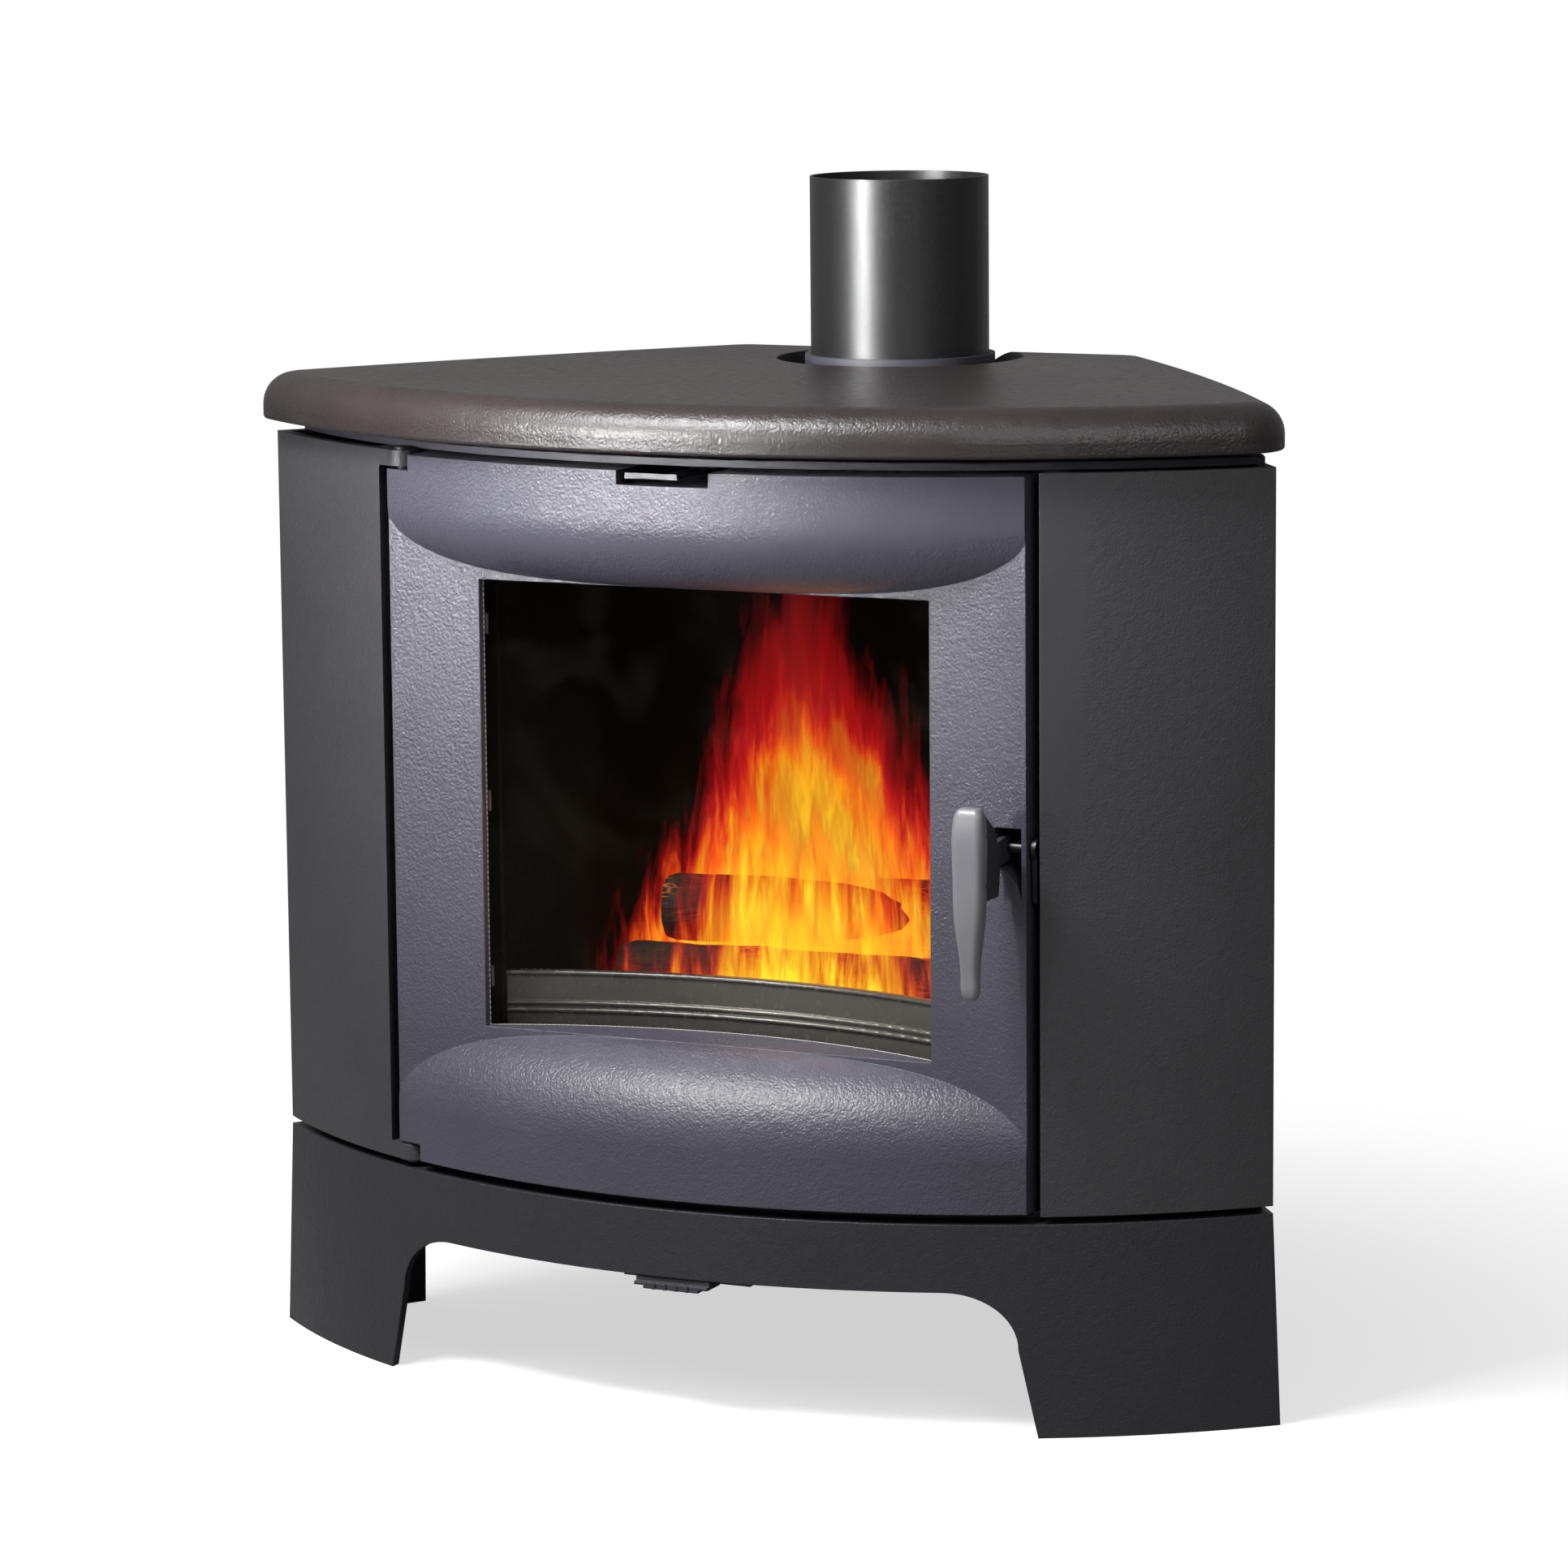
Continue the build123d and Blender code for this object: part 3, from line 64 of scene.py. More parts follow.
# Each light: power, width, height, azimuth, elevation, distance, target height, spread in degrees
light_plan = {
    "key_light": (112.0, 1.0, 0.45, -26.0, 51.0, 2.3, 0.45, 180.0),
    "front_light": (24.0, 0.8, 1.0, -40.0, 32.0, 3.0, 0.5, 180.0),
    "side_light": (22.0, 1.0, 1.0, 44.0, 30.0, 3.0, 0.5, 180.0),
    "pipe_light": (5.0, 0.12, 0.7, -26.0, 4.0, 2.5, 0.97, 24.0),
}

# Colours of paint and metal, linear
cast_colour = (0.038, 0.0365, 0.050)
panel_colour = (0.024, 0.023, 0.0255)
# Base: the door paint darkened to about a third, painted shade for the dimmer bottom of the stove
base_shaded_colour = (0.012, 0.0115, 0.015)
lid_colour = (0.014, 0.0102, 0.0106)
flue_colour = (0.0035, 0.0035, 0.0038)
grip_colour = (0.11, 0.108, 0.12)
guard_colour = (0.06, 0.058, 0.055)
soot_colour = (0.008, 0.007, 0.006)
steel_colour = (0.30, 0.30, 0.31)
blackened_colour = (0.05, 0.05, 0.052)
brass_colour = (0.42, 0.30, 0.12)

# Logs
log_radius = 0.034
log_length = 0.298
top_log_share = 0.9
top_log_length = 0.253
log_clear = 0.0004
log_front_inset = 0.010
log_back_inset = 0.013
log_rings = 60
log_sides = 40
log_mean = 0.93
log_ridge = 0.06
log_flat = 0.14
log_end_taper = 0.10

# Embers
ember_columns = 110
ember_rows = 80
ember_margin = 0.012
ember_rim_cells = 8
ember_depth = 0.008
ember_clear = 0.0005

# Flames, on curved sheets one behind the other
flame_layers = 5
flame_strength = 7.5
flame_left = -0.195
flame_width = 0.39
flame_rise = 0.36
flame_foot = 0.01
flame_columns = 48
flame_rows = 60
flame_ahead = 0.012
flame_spacing = 0.036
flame_narrowing = 0.12
flame_ripple = 0.016
flame_bow = 0.02
# How tall each sheet burns, front to back: the first only licks over the front log
flame_peaks = (0.10, 0.40, 0.72, 0.78, 0.70)
flame_shoulders = (0.36, 0.38, 0.40, 0.44, 0.34)
peak_place = 0.45
peak_step = 0.015
peak_spread = 0.25
shoulder_place = 0.66
shoulder_spread = 0.42


# Node helpers
def new_material(name):
    mat = bpy.data.materials.new(name)
    mat.use_nodes = True
    tree = mat.node_tree
    tree.nodes.clear()
    out = tree.nodes.new("ShaderNodeOutputMaterial")
    return mat, tree, out


def add(tree, kind, **values):
    node = tree.nodes.new(kind)
    for key, value in values.items():
        setattr(node, key, value)
    return node


def fill(node, **values):
    for key, value in values.items():
        node.inputs[key.replace("_", " ")].default_value = value


def link(tree, source, output, target, socket):
    tree.links.new(source.outputs[output], target.inputs[socket])


def blend(tree, factor, first, second):
    # The first shader where the factor is 0, the second where it is 1
    mix = add(tree, "ShaderNodeMixShader")
    tree.links.new(factor, mix.inputs["Fac"])
    tree.links.new(first.outputs[0], mix.inputs[1])
    tree.links.new(second.outputs[0], mix.inputs[2])
    return mix


def multiply(tree, socket, value):
    node = add(tree, "ShaderNodeMath", operation="MULTIPLY")
    tree.links.new(socket, node.inputs[0])
    if isinstance(value, float):
        node.inputs[1].default_value = value
    else:
        tree.links.new(value, node.inputs[1])
    return node


def object_coords(tree, scale=(1.0, 1.0, 1.0)):
    coords = add(tree, "ShaderNodeTexCoord")
    mapping = add(tree, "ShaderNodeMapping")
    fill(mapping, Scale=scale)
    link(tree, coords, "Object", mapping, "Vector")
    return mapping


def noise_node(tree, mapping, scale, detail=3.0, roughness=0.5, distortion=0.0):
    node = add(tree, "ShaderNodeTexNoise")
    fill(node, Scale=scale, Detail=detail, Roughness=roughness, Distortion=distortion)
    link(tree, mapping, "Vector", node, "Vector")
    return node


def cell_node(tree, mapping, scale):
    node = add(tree, "ShaderNodeTexVoronoi")
    fill(node, Scale=scale)
    link(tree, mapping, "Vector", node, "Vector")
    return node


def ramp(tree, socket, stops):
    node = add(tree, "ShaderNodeValToRGB")
    elements = node.color_ramp.elements
    while len(elements) < len(stops):
        elements.new(0.5)
    for element, (place, colour) in zip(elements, stops):
        element.position = place
        element.color = (*colour, 1.0)
    tree.links.new(socket, node.inputs["Fac"])
    return node


def bump(tree, socket, strength, distance, normal=None):
    node = add(tree, "ShaderNodeBump")
    fill(node, Strength=strength, Distance=distance)
    tree.links.new(socket, node.inputs["Height"])
    if normal is not None:
        link(tree, normal, "Normal", node, "Normal")
    return node


def rounded_edges(tree, radius):
    node = add(tree, "ShaderNodeBevel", samples=4)
    fill(node, Radius=radius)
    return node


def grey(level):
    return (level,) * 3


def shade(colour, factor):
    return tuple(channel * factor for channel in colour)


def seen_directly(tree):
    # 1 for rays from the camera and rays that went through the glass, else 0
    path = add(tree, "ShaderNodeLightPath")
    seen = add(tree, "ShaderNodeMath", operation="MAXIMUM")
    link(tree, path, "Is Camera Ray", seen, 0)
    link(tree, path, "Is Transmission Ray", seen, 1)
    return seen.outputs["Value"]


# Materials
def paint(name, colour, roughness, grain, grain_depth, mottle=0.10, wave=0.0, specular=0.45):
    # Stove paint over a sand-cast or sheet surface: orange peel, pits and faint clouds
    mat, tree, out = new_material(name)
    shader = add(tree, "ShaderNodeBsdfPrincipled")
    mapping = object_coords(tree)
    cloud = noise_node(tree, mapping, 9.0, 4.0, 0.6)
    light_tone, dark_tone = shade(colour, 1.0 + mottle), shade(colour, 1.0 - mottle)
    tone = ramp(tree, cloud.outputs["Fac"], [(0.3, dark_tone), (0.7, light_tone)])
    link(tree, tone, "Color", shader, "Base Color")
    peel = noise_node(tree, mapping, grain, 2.0, 0.55)
    pits = noise_node(tree, mapping, grain * 0.3, 3.0, 0.6)
    rough_stops = [(0.3, grey(roughness - 0.05)), (0.7, grey(roughness + 0.06))]
    link(tree, ramp(tree, pits.outputs["Fac"], rough_stops), "Color", shader, "Roughness")
    fine = bump(tree, peel.outputs["Fac"], 0.6, grain_depth, rounded_edges(tree, 0.0012))
    last = bump(tree, pits.outputs["Fac"], 0.35, grain_depth * 1.6, fine)
    if wave:
        swell = noise_node(tree, mapping, 14.0, 3.0, 0.55)
        last = bump(tree, swell.outputs["Fac"], 0.5, wave, last)
    link(tree, last, "Normal", shader, "Normal")
    fill(shader, Specular_IOR_Level=specular)
    link(tree, shader, "BSDF", out, "Surface")
    return mat


def bare_metal(name, colour, roughness):
    # Machined or rolled steel with fine drawn lines and slight tarnish
    mat, tree, out = new_material(name)
    shader = add(tree, "ShaderNodeBsdfPrincipled")
    lines = noise_node(tree, object_coords(tree, (1.0, 1.0, 30.0)), 160.0, 5.0, 0.7)
    tarnish = noise_node(tree, object_coords(tree), 45.0, 4.0, 0.6)
    tone = ramp(tree, tarnish.outputs["Fac"], [(0.3, shade(colour, 0.6)), (0.65, colour)])
    link(tree, tone, "Color", shader, "Base Color")
    rough_stops = [(0.3, grey(roughness - 0.08)), (0.7, grey(roughness + 0.12))]
    link(tree, ramp(tree, lines.outputs["Fac"], rough_stops), "Color", shader, "Roughness")
    drawn = bump(tree, lines.outputs["Fac"], 0.3, 0.0001, rounded_edges(tree, 0.0005))
    link(tree, drawn, "Normal", shader, "Normal")
    fill(shader, Metallic=1.0)
    link(tree, shader, "BSDF", out, "Surface")
    return mat


def brick_material():
    # Refractory board of pressed flakes, blackened by soot
    mat, tree, out = new_material("sooty_firebrick")
    shader = add(tree, "ShaderNodeBsdfPrincipled")
    mapping = object_coords(tree)
    flakes = cell_node(tree, mapping, 260.0)
    grit_stops = [(0.1, (0.008, 0.0075, 0.007)), (0.7, (0.02, 0.018, 0.016))]
    grit = ramp(tree, flakes.outputs["Distance"], grit_stops)
    soot = noise_node(tree, mapping, 7.0, 5.0, 0.65, 0.6)
    mask = ramp(tree, soot.outputs["Fac"], [(0.35, grey(0.10)), (0.75, grey(0.55))])
    mix = add(tree, "ShaderNodeMix", data_type="RGBA", blend_type="MULTIPLY")
    fill(mix, Factor=1.0)
    link(tree, grit, "Color", mix, 6)
    link(tree, mask, "Color", mix, 7)
    link(tree, mix, 2, shader, "Base Color")
    fill(shader, Roughness=0.95, Specular_IOR_Level=0.15)
    link(tree, bump(tree, flakes.outputs["Distance"], 0.5, 0.0008), "Normal", shader, "Normal")
    link(tree, shader, "BSDF", out, "Surface")
    return mat


def rope_material():
    # Braided glass-fibre rope, woven by two crossed waves
    mat, tree, out = new_material("fibre_rope")
    shader = add(tree, "ShaderNodeBsdfPrincipled")
    mapping = object_coords(tree)
    weave = add(tree, "ShaderNodeMath", operation="MAXIMUM")
    for place, turn in enumerate((0.7, -0.7)):
        spin = add(tree, "ShaderNodeMapping")
        fill(spin, Rotation=(0.0, turn, 0.0))
        link(tree, mapping, "Vector", spin, "Vector")
        wave = add(tree, "ShaderNodeTexWave")
        fill(wave, Scale=110.0, Distortion=0.6)
        link(tree, spin, "Vector", wave, "Vector")
        link(tree, wave, "Fac", weave, place)
    tone_stops = [(0.1, (0.10, 0.09, 0.08)), (0.9, (0.42, 0.40, 0.36))]
    link(tree, ramp(tree, weave.outputs["Value"], tone_stops), "Color", shader, "Base Color")
    fill(shader, Roughness=0.9)
    link(tree, bump(tree, weave.outputs["Value"], 0.8, 0.0006), "Normal", shader, "Normal")
    link(tree, shader, "BSDF", out, "Surface")
    return mat


def glass_material():
    # Ceramic glass with a faint smeared film of soot
    mat, tree, out = new_material("ceramic_glass")
    clear = add(tree, "ShaderNodeBsdfTransparent")
    fill(clear, Color=(0.93, 0.92, 0.90, 1.0))
    gloss = add(tree, "ShaderNodeBsdfGlossy")
    fill(gloss, Color=(0.9, 0.9, 0.92, 1.0), Roughness=0.12)
    fresnel = add(tree, "ShaderNodeFresnel")
    fill(fresnel, IOR=1.12)
    film = add(tree, "ShaderNodeBsdfDiffuse")
    fill(film, Color=(0.03, 0.025, 0.02, 1.0))
    smear = noise_node(tree, object_coords(tree), 12.0, 5.0, 0.6, 0.8)
    amount = ramp(tree, smear.outputs["Fac"], [(0.5, grey(0.0)), (0.9, grey(0.10))])
    sooty = blend(tree, amount.outputs["Color"], clear, film)
    link(tree, blend(tree, fresnel.outputs["Fac"], sooty, gloss), "Shader", out, "Surface")
    return mat


def bark_material():
    # Charred bark with a few glowing cracks
    mat, tree, out = new_material("charred_log")
    shader = add(tree, "ShaderNodeBsdfPrincipled")
    cells = cell_node(tree, object_coords(tree, (1.0, 5.0, 5.0)), 34.0)
    cells.feature = "DISTANCE_TO_EDGE"
    gap = cells.outputs["Distance"]
    ash = noise_node(tree, object_coords(tree), 60.0, 5.0, 0.7)
    tone_stops = [(0.35, (0.006, 0.004, 0.003)), (0.6, (0.035, 0.017, 0.009)), (0.8, (0.09, 0.055, 0.03))]
    link(tree, ramp(tree, ash.outputs["Fac"], tone_stops), "Color", shader, "Base Color")
    cracks = ramp(tree, gap, [(0.0, grey(1.0)), (0.10, grey(0.0))])
    warmth = noise_node(tree, object_coords(tree), 14.0, 3.0, 0.6)
    heat = ramp(tree, warmth.outputs["Fac"], [(0.52, grey(0.0)), (0.72, grey(1.0))])
    glow = multiply(tree, cracks.outputs["Color"], heat.outputs["Color"])
    strength = multiply(tree, glow.outputs["Value"], 1.6)
    fill(shader, Roughness=0.9, Emission_Color=(1.0, 0.22, 0.03, 1.0))
    link(tree, strength, "Value", shader, "Emission Strength")
    link(tree, bump(tree, gap, 0.9, 0.004), "Normal", shader, "Normal")
    link(tree, shader, "BSDF", out, "Surface")
    return mat


def ember_material():
    # Grey coals that glow in patches
    mat, tree, out = new_material("ember_bed")
    shader = add(tree, "ShaderNodeBsdfPrincipled")
    mapping = object_coords(tree)
    coals = cell_node(tree, mapping, 120.0).outputs["Distance"]
    tone = ramp(tree, coals, [(0.1, (0.02, 0.012, 0.01)), (0.6, (0.18, 0.15, 0.13))])
    link(tree, tone, "Color", shader, "Base Color")
    heat = noise_node(tree, mapping, 30.0, 4.0, 0.6)
    mask = ramp(tree, heat.outputs["Fac"], [(0.46, grey(0.0)), (0.62, grey(1.0))])
    strength = multiply(tree, mask.outputs["Color"], 5.0)
    fill(shader, Roughness=0.95, Emission_Color=(1.0, 0.25, 0.04, 1.0))
    link(tree, strength, "Value", shader, "Emission Strength")
    link(tree, bump(tree, coals, 0.8, 0.003), "Normal", shader, "Normal")
    link(tree, shader, "BSDF", out, "Surface")
    return mat


def flame_material(index):
    # Streaked fire on a sheet whose UV runs across (u) and up (v)
    mat, tree, out = new_material("flame_%d" % index)
    coords = add(tree, "ShaderNodeTexCoord")
    split = add(tree, "ShaderNodeSeparateXYZ")
    link(tree, coords, "UV", split, "Vector")
    offset = add(tree, "ShaderNodeMapping")
    fill(offset, Location=(3.7 * index, 1.9 * index, 0.6 * index))
    link(tree, coords, "UV", offset, "Vector")

    def field(scale_u, scale_v, detail, rough, twist):
        stretch = add(tree, "ShaderNodeMapping")
        fill(stretch, Scale=(scale_u, scale_v, 1.0))
        link(tree, offset, "Vector", stretch, "Vector")
        return noise_node(tree, stretch, 1.0, detail, rough, twist).outputs["Fac"]

    def calc(operation, first, second, clamp=False):
        node = add(tree, "ShaderNodeMath", operation=operation, use_clamp=clamp)
        for place, value in enumerate((first, second)):
            if isinstance(value, (int, float)):
                node.inputs[place].default_value = value
            else:
                tree.links.new(value, node.inputs[place])
        return node.outputs[0]

    def about_middle(socket, share):
        return calc("MULTIPLY", calc("SUBTRACT", socket, 0.5), share)

    def bell(place, centre, spread):
        away = calc("DIVIDE", calc("SUBTRACT", place, centre), spread)
        return calc("POWER", 2.718, calc("MULTIPLY", calc("MULTIPLY", away, away), -1.0))

    u = split.outputs["X"]
    v = split.outputs["Y"]
    sway = calc("SUBTRACT", field(2.6, 1.5, 2.0, 0.5, 0.4), 0.5)
    across = calc("ADD", u, calc("MULTIPLY", sway, calc("MULTIPLY", v, 0.28)))

    # Height of the fire across the sheet: a tall peak left of the middle and low shoulders
    peak = bell(across, peak_place - peak_step * index, peak_spread)
    shoulder = bell(across, shoulder_place, shoulder_spread)
    height = calc("ADD", calc("MULTIPLY", peak, flame_peaks[index]),
                  calc("MULTIPLY", shoulder, flame_shoulders[index]))

    # Heat: the height left above a point, torn by tongues and wisps and faded at the sides
    tongues = about_middle(field(11.0, 1.7, 4.0, 0.6, 0.9), 1.5)
    wisps = about_middle(field(30.0, 3.6, 4.0, 0.6, 1.2), 0.9)
    body = calc("MULTIPLY", calc("SUBTRACT", height, v), 1.9)
    torn = calc("ADD", body, calc("ADD", tongues, wisps))
    sides = calc("MULTIPLY", calc("MULTIPLY", u, calc("SUBTRACT", 1.0, u)), 14.0, clamp=True)
    heat = calc("MULTIPLY", torn, sides, clamp=True)

    # Colour: yellow where it is hot and low, red where it is high and thin
    cooling = calc("MAXIMUM", calc("MULTIPLY", calc("SUBTRACT", v, 0.22), 1.15), 0.0)
    tint = calc("SUBTRACT", heat, cooling, clamp=True)
    colour = ramp(tree, tint, [(0.0, (0.42, 0.006, 0.008)), (0.22, (0.62, 0.015, 0.012)),
                               (0.38, (0.95, 0.10, 0.01)), (0.56, (1.0, 0.34, 0.012)),
                               (0.86, (1.0, 0.72, 0.03))])
    level = ramp(tree, heat, [(0.0, grey(0.0)), (0.15, grey(0.12)), (0.45, grey(0.55)), (0.85, grey(0.92))])
    cool_share = calc("SUBTRACT", 1.0, calc("MULTIPLY", cooling, 0.75), clamp=True)
    emission = add(tree, "ShaderNodeEmission")
    power = calc("MULTIPLY", cool_share, flame_strength / flame_layers)
    tree.links.new(power, emission.inputs["Strength"])
    link(tree, colour, "Color", emission, "Color")
    clear = add(tree, "ShaderNodeBsdfTransparent")
    link(tree, blend(tree, level.outputs["Color"], clear, emission), "Shader", out, "Surface")
    return mat


def dress(material, *names):
    for name in names:
        mesh = nodes[name].data
        mesh.materials.clear()
        mesh.materials.append(material)


def dress_nodes():
    # Paints: colour, roughness, grains per metre and depth of the grain
    cast = paint("door_cast", cast_colour, 0.35, 520.0, 0.0011)
    panel = paint("panel_cast", panel_colour, 0.50, 520.0, 0.0006)
    # The base gets the door paint darkened: painted shade, as the bottom of the stove is less lit
    shaded_plinth = paint("base_cast", base_shaded_colour, 0.44, 520.0, 0.0008)
    lid = paint("lid_cast", lid_colour, 0.36, 420.0, 0.0009, wave=0.0022, mottle=0.25, specular=0.38)
    steel = paint("black_steel", shade(cast_colour, 0.5), 0.55, 900.0, 0.0001)
    soot = paint("sooty_steel", soot_colour, 0.8, 330.0, 0.0006, specular=0.15)
    flue = paint("flue_paint", flue_colour, 0.36, 900.0, 0.00012)
    grip = paint("grip_paint", grip_colour, 0.40, 1200.0, 0.00006)
    guard = paint("guard_cast", guard_colour, 0.24, 330.0, 0.0001, specular=1.0)
    bright = bare_metal("bright_steel", steel_colour, 0.35)
    dark = bare_metal("blackened_steel", blackened_colour, 0.38)
    brass = bare_metal("bush_brass", brass_colour, 0.35)
    dress(cast, "door_casting")
    dress(shaded_plinth, "base")
    dress(panel, "left_side_panel", "right_side_panel")
    dress(lid, "lid")
    dress(steel, "top_plate", "floor_plate", "left_rear_casing", "right_rear_casing", "rear_panel",
          "primary_air_box", "primary_air_slider", "secondary_air_guide", "flue_collar", "latch_lever")
    dress(soot, "firebox_shell", "firebox_front", "hearth_plate", "ash_box", "ash_pan", "baffle_rails",
          "grate")
    dress(guard, "log_guard")
    dress(flue, "flue_pipe")
    dress(grip, "handle_grip")
    dress(dark, "upper_hinge_pin", "lower_hinge_pin", "hinge_washer", "latch_shaft", "latch_hook",
          "secondary_air_slider")
    dress(bright, "latch_keeper", "glass_clips", "clip_screws", "grip_screws", "base_bolts")
    dress(brass, "hinge_bushes")
    dress(glass_material(), "door_glass")
    dress(rope_material(), "door_seal_rope", "glass_gasket")
    dress(brick_material(), "left_brick", "right_brick", "rear_brick", "baffle_plate")


# Modelled pieces
def mesh_object(name, bm, material, smooth=True):
    mesh = bpy.data.meshes.new(name)
    bm.to_mesh(mesh)
    bm.free()
    obj = bpy.data.objects.new(name, mesh)
    bpy.context.scene.collection.objects.link(obj)
    mesh.materials.append(material)
    for polygon in mesh.polygons:
        polygon.use_smooth = smooth
    return obj


def fill_grid(bm, grid):
    faces = []
    for near, far in zip(grid, grid[1:]):
        for j in range(len(near) - 1):
            faces.append(bm.faces.new((near[j], far[j], far[j + 1], near[j + 1])))
    return faces


def make_log(name, centre, length, radius, turn, seed, material):
    # A ridged round with one flattened side and hollow ends, inside the plain log's cylinder
    bm = bmesh.new()
    rings = []
    spin = Matrix.Rotation(math.radians(turn), 3, "Z")
    for i in range(log_rings + 1):
        share = i / log_rings
        x = (share - 0.5) * length
        rings_from_end = min(share, 1 - share) * log_rings
        taper = 1.0 - log_end_taper + log_end_taper * min(rings_from_end / 2, 1.0)
        ring = []
        for j in range(log_sides):
            angle = 2 * math.pi * j / log_sides
            place = Vector((x * 9, math.cos(angle) * 2, math.sin(angle) * 2 + seed * 7.0))
            ridge = noise.fractal(place * 1.6, 1.0, 2.0, 5)
            flat = max(0.0, math.cos(angle - seed)) ** 6 * log_flat
            r = min(radius * taper * (log_mean - flat + log_ridge * ridge), radius)
            point = spin @ Vector((x, math.cos(angle) * r, math.sin(angle) * r))
            ring.append(bm.verts.new(point + Vector(centre)))
        rings.append(ring)
    for near, far in zip(rings, rings[1:]):
        for j in range(log_sides):
            k = (j + 1) % log_sides
            bm.faces.new((near[j], near[k], far[k], far[j]))
    for ring, x in ((rings[0], -length / 2), (rings[-1], length / 2)):
        middle = bm.verts.new(spin @ Vector((x * 0.985, 0, 0)) + Vector(centre))
        for j in range(log_sides):
            k = (j + 1) % log_sides
            bm.faces.new((ring[j], ring[k], middle))
    bmesh.ops.recalc_face_normals(bm, faces=bm.faces)
    return mesh_object(name, bm, material)


def make_fire_logs():
    bark = bark_material()
    low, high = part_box("firewood")
    grate_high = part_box("grate")[1]
    front_y = low.y + log_radius + log_front_inset
    back_y = high.y - log_radius - log_back_inset
    z = grate_high.z + log_clear + log_radius
    top_radius = log_radius * top_log_share
    top_centre = (0, (front_y + back_y) / 2, high.z - top_radius)
    logs = [
        make_log("log_front", (0, front_y, z), log_length, log_radius, 4.0, 1.3, bark),
        make_log("log_back", (0, back_y, z), log_length, log_radius, -5.0, 2.6, bark),
        make_log("log_top", top_centre, top_log_length, top_radius, 14.0, 4.1, bark),
    ]
    for log in logs:
        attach(log, "stove_body")
    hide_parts("firewood")


def make_embers():
    # A low uneven bed of coals on the grate, thin at its rim
    bm = bmesh.new()
    low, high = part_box("grate")
    wide = high.x - low.x - 2 * ember_margin
    deep = high.y - low.y - 2 * ember_margin
    grid = []
    for i in range(ember_columns + 1):
        line = []
        for j in range(ember_rows + 1):
            x = low.x + ember_margin + wide * i / ember_columns
            y = low.y + ember_margin + deep * j / ember_rows
            rim = min(i, j, ember_columns - i, ember_rows - j) / ember_rim_cells
            coal = noise.cell(Vector((x * 70, y * 70, 0))) * 0.006
            lump = noise.noise(Vector((x * 60, y * 60, 3))) * 0.004
            lift = max(0.0, min(rim, 1.0)) * (ember_depth + coal + lump)
            line.append(bm.verts.new((x, y, high.z + ember_clear + lift)))
        grid.append(line)
    fill_grid(bm, grid)
    bed = mesh_object("ember_bed", bm, ember_material())
    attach(bed, "stove_body")


def make_flames():
    # Gently curved sheets, one behind the other, between the bricks
    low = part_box("firewood")[0]
    bottom = low.z + flame_foot
    for layer in range(flame_layers):
        sheet_y = low.y - flame_ahead + layer * flame_spacing
        bm = bmesh.new()
        uv = bm.loops.layers.uv.new("UVMap")
        place_of = {}
        grid = []
        for i in range(flame_columns + 1):
            line = []
            for j in range(flame_rows + 1):
                u, v = i / flame_columns, j / flame_rows
                x = flame_left + flame_width * (u + (0.5 - u) * flame_narrowing * v)
                ripple = noise.noise(Vector((u * 4, v * 3, layer * 5.0))) * flame_ripple
                y = sheet_y + ripple + flame_bow * math.sin(u * math.pi)
                vert = bm.verts.new((x, y, bottom + flame_rise * v))
                place_of[vert] = (u, v)
                line.append(vert)
            grid.append(line)
        for face in fill_grid(bm, grid):
            for loop in face.loops:
                loop[uv].uv = place_of[loop.vert]
        sheet = mesh_object("flame_sheet_%d" % layer, bm, flame_material(layer))
        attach(sheet, "stove_body")


# Studio
def floor_material():
    # Towards the backdrop the floor fades to plain white, for what the camera sees alone
    mat, tree, out = new_material("studio_floor")
    place = add(tree, "ShaderNodeNewGeometry")
    away = add(tree, "ShaderNodeVectorMath", operation="LENGTH")
    link(tree, place, "Position", away, 0)
    fade = add(tree, "ShaderNodeMapRange", interpolation_type="SMOOTHSTEP")
    fill(fade, From_Min=floor_fade_start, From_Max=floor_fade_end, To_Min=floor_lift, To_Max=1.0)
    link(tree, away, "Value", fade, "Value")
    seen = seen_directly(tree)
    diffuse = add(tree, "ShaderNodeBsdfDiffuse")
    shown = ramp(tree, seen, [(0.0, grey(floor_bounce)), (1.0, floor_colour)])
    link(tree, shown, "Color", diffuse, "Color")
    white = add(tree, "ShaderNodeEmission")
    fill(white, Color=(*backdrop_colour, 1.0))
    share = multiply(tree, fade.outputs["Result"], seen)
    link(tree, blend(tree, share.outputs["Value"], diffuse, white), "Shader", out, "Surface")
    return mat


def make_floor():
    bm = bmesh.new()
    marks = [floor_size * (i / floor_steps - 0.5) for i in range(floor_steps + 1)]
    fill_grid(bm, [[bm.verts.new((x, y, 0.0)) for y in marks] for x in marks])
    floor = mesh_object("studio_floor", bm, floor_material(), smooth=False)


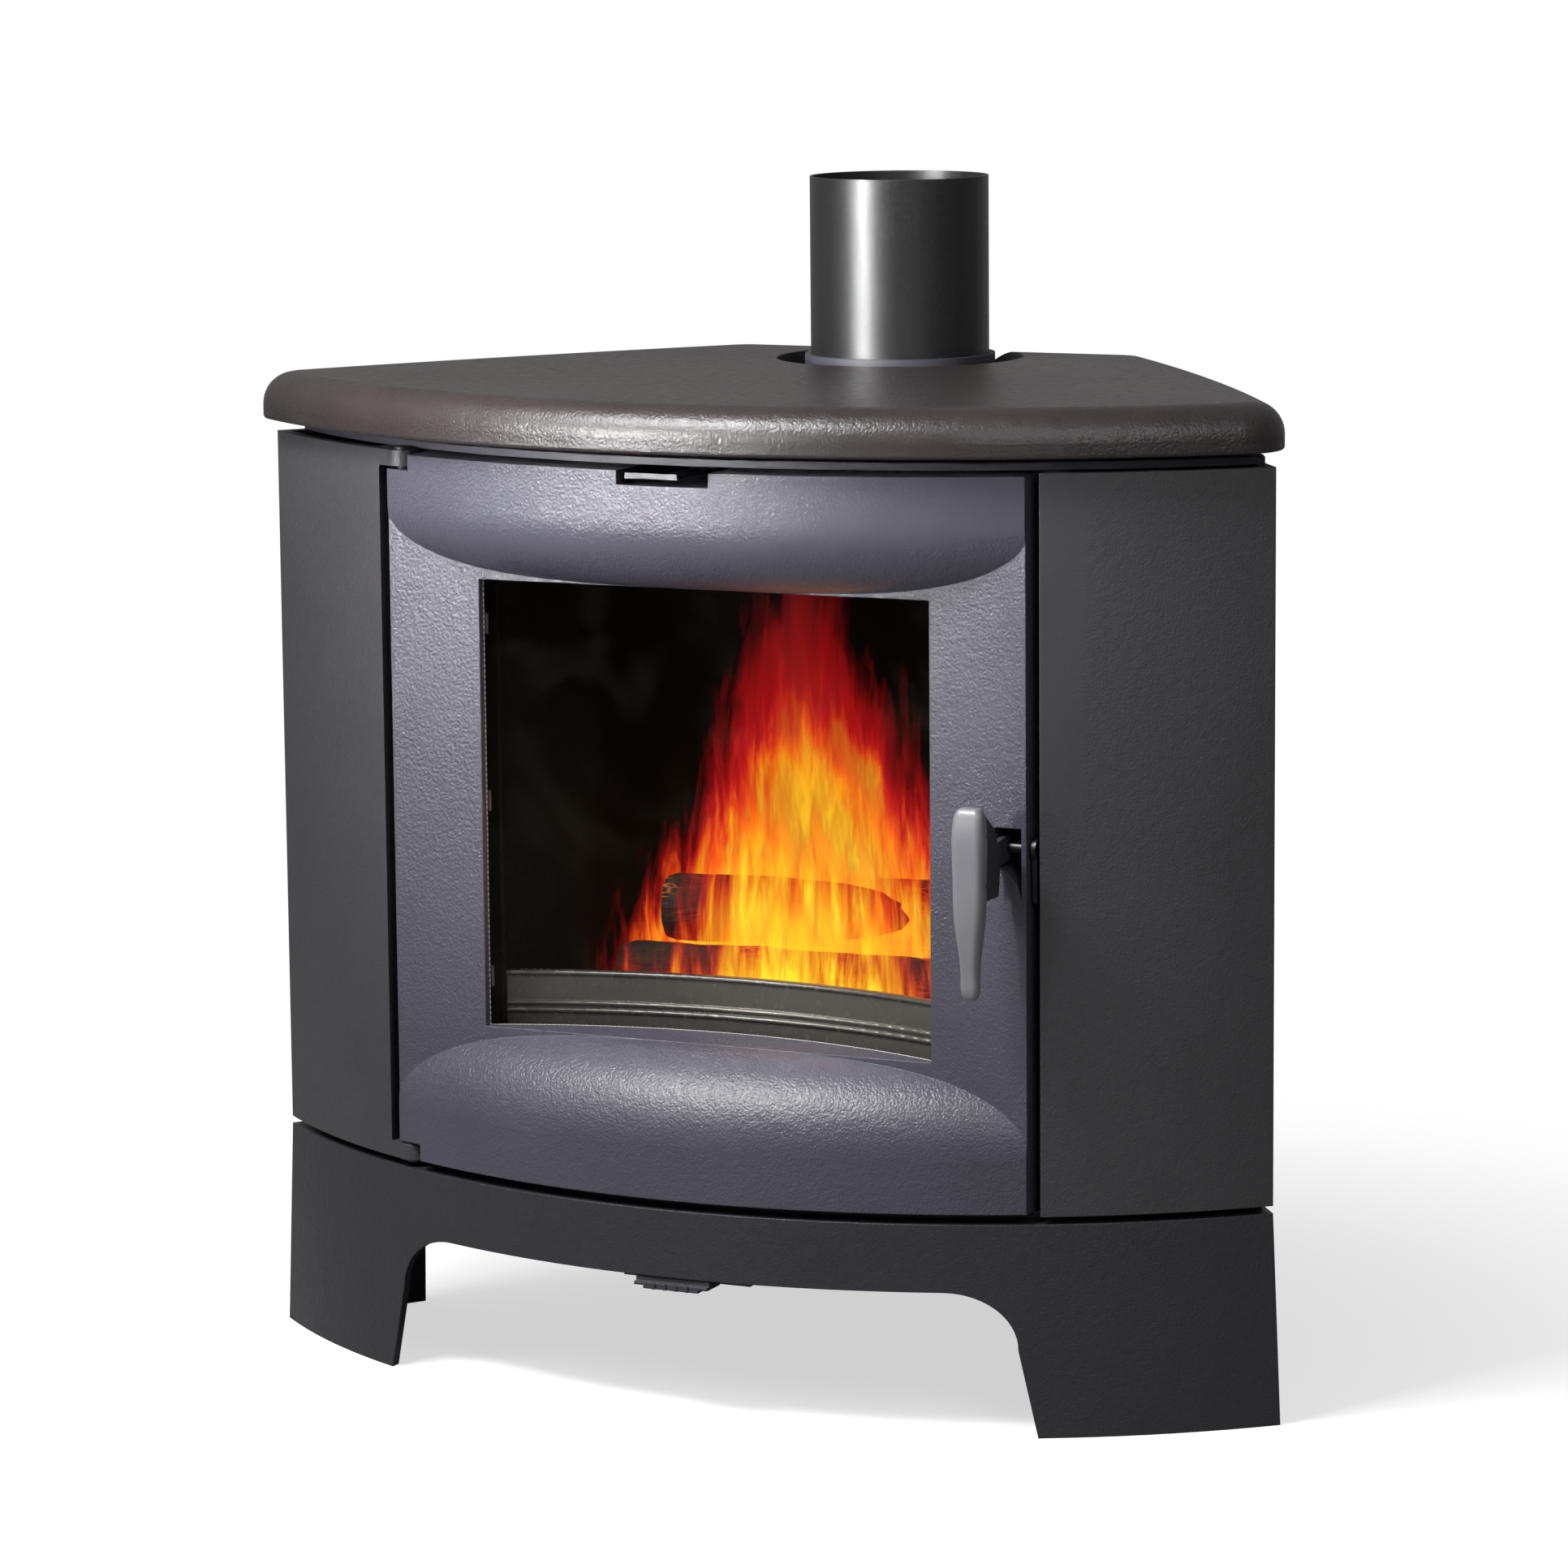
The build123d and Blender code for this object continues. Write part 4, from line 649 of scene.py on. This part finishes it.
def make_world():
    world = bpy.data.worlds.new("studio")
    bpy.context.scene.world = world
    world.use_nodes = True
    tree = world.node_tree
    tree.nodes.clear()
    out = add(tree, "ShaderNodeOutputWorld")
    ambient = add(tree, "ShaderNodeBackground")
    fill(ambient, Color=(*backdrop_colour, 1.0), Strength=ambient_strength)
    white = add(tree, "ShaderNodeBackground")
    fill(white, Color=(*backdrop_colour, 1.0), Strength=1.0)
    link(tree, blend(tree, seen_directly(tree), ambient, white), "Shader", out, "Surface")


def aim(obj, azimuth, elevation, distance, target):
    turn, rise = math.radians(azimuth), math.radians(elevation)
    level = math.cos(rise)
    back = Vector((math.sin(turn) * level, -math.cos(turn) * level, math.sin(rise)))
    obj.location = Vector(target) + back * distance
    obj.rotation_mode = "QUATERNION"
    obj.rotation_quaternion = (-back).to_track_quat("-Z", "Y")


def make_lights():
    for name, plan in light_plan.items():
        power, width, height, azimuth, elevation, distance, target_z, spread = plan
        data = bpy.data.lights.new(name, "AREA")
        data.energy = power
        data.shape = "RECTANGLE"
        data.size = width
        data.size_y = height
        data.spread = math.radians(spread)
        lamp = bpy.data.objects.new(name, data)
        bpy.context.scene.collection.objects.link(lamp)
        aim(lamp, azimuth, elevation, distance, (0.0, light_target_y, target_z))


def make_camera():
    data = bpy.data.cameras.new("camera")
    data.lens = camera_lens
    data.sensor_width = camera_sensor
    data.sensor_fit = "HORIZONTAL"
    camera = bpy.data.objects.new("camera", data)
    bpy.context.scene.collection.objects.link(camera)
    bpy.context.scene.camera = camera
    yaw, pitch, roll = (math.radians(v) for v in (camera_yaw, camera_pitch, camera_roll))
    level = math.cos(pitch)
    forward = Vector((-math.sin(yaw) * level, math.cos(yaw) * level, -math.sin(pitch)))
    right = Vector((math.cos(yaw), math.sin(yaw), 0.0))
    up = right.cross(forward)
    rolled_right = right * math.cos(roll) + up * math.sin(roll)
    rolled_up = up * math.cos(roll) - right * math.sin(roll)
    place = Vector(camera_target) - forward * camera_distance
    turn = Matrix((rolled_right, rolled_up, -forward)).transposed().to_4x4()
    camera.matrix_world = Matrix.Translation(place) @ turn


dress_nodes()
make_fire_logs()
make_embers()
make_flames()
make_floor()
make_world()
make_lights()
make_camera()
bpy.context.scene.view_settings.view_transform = "Standard"
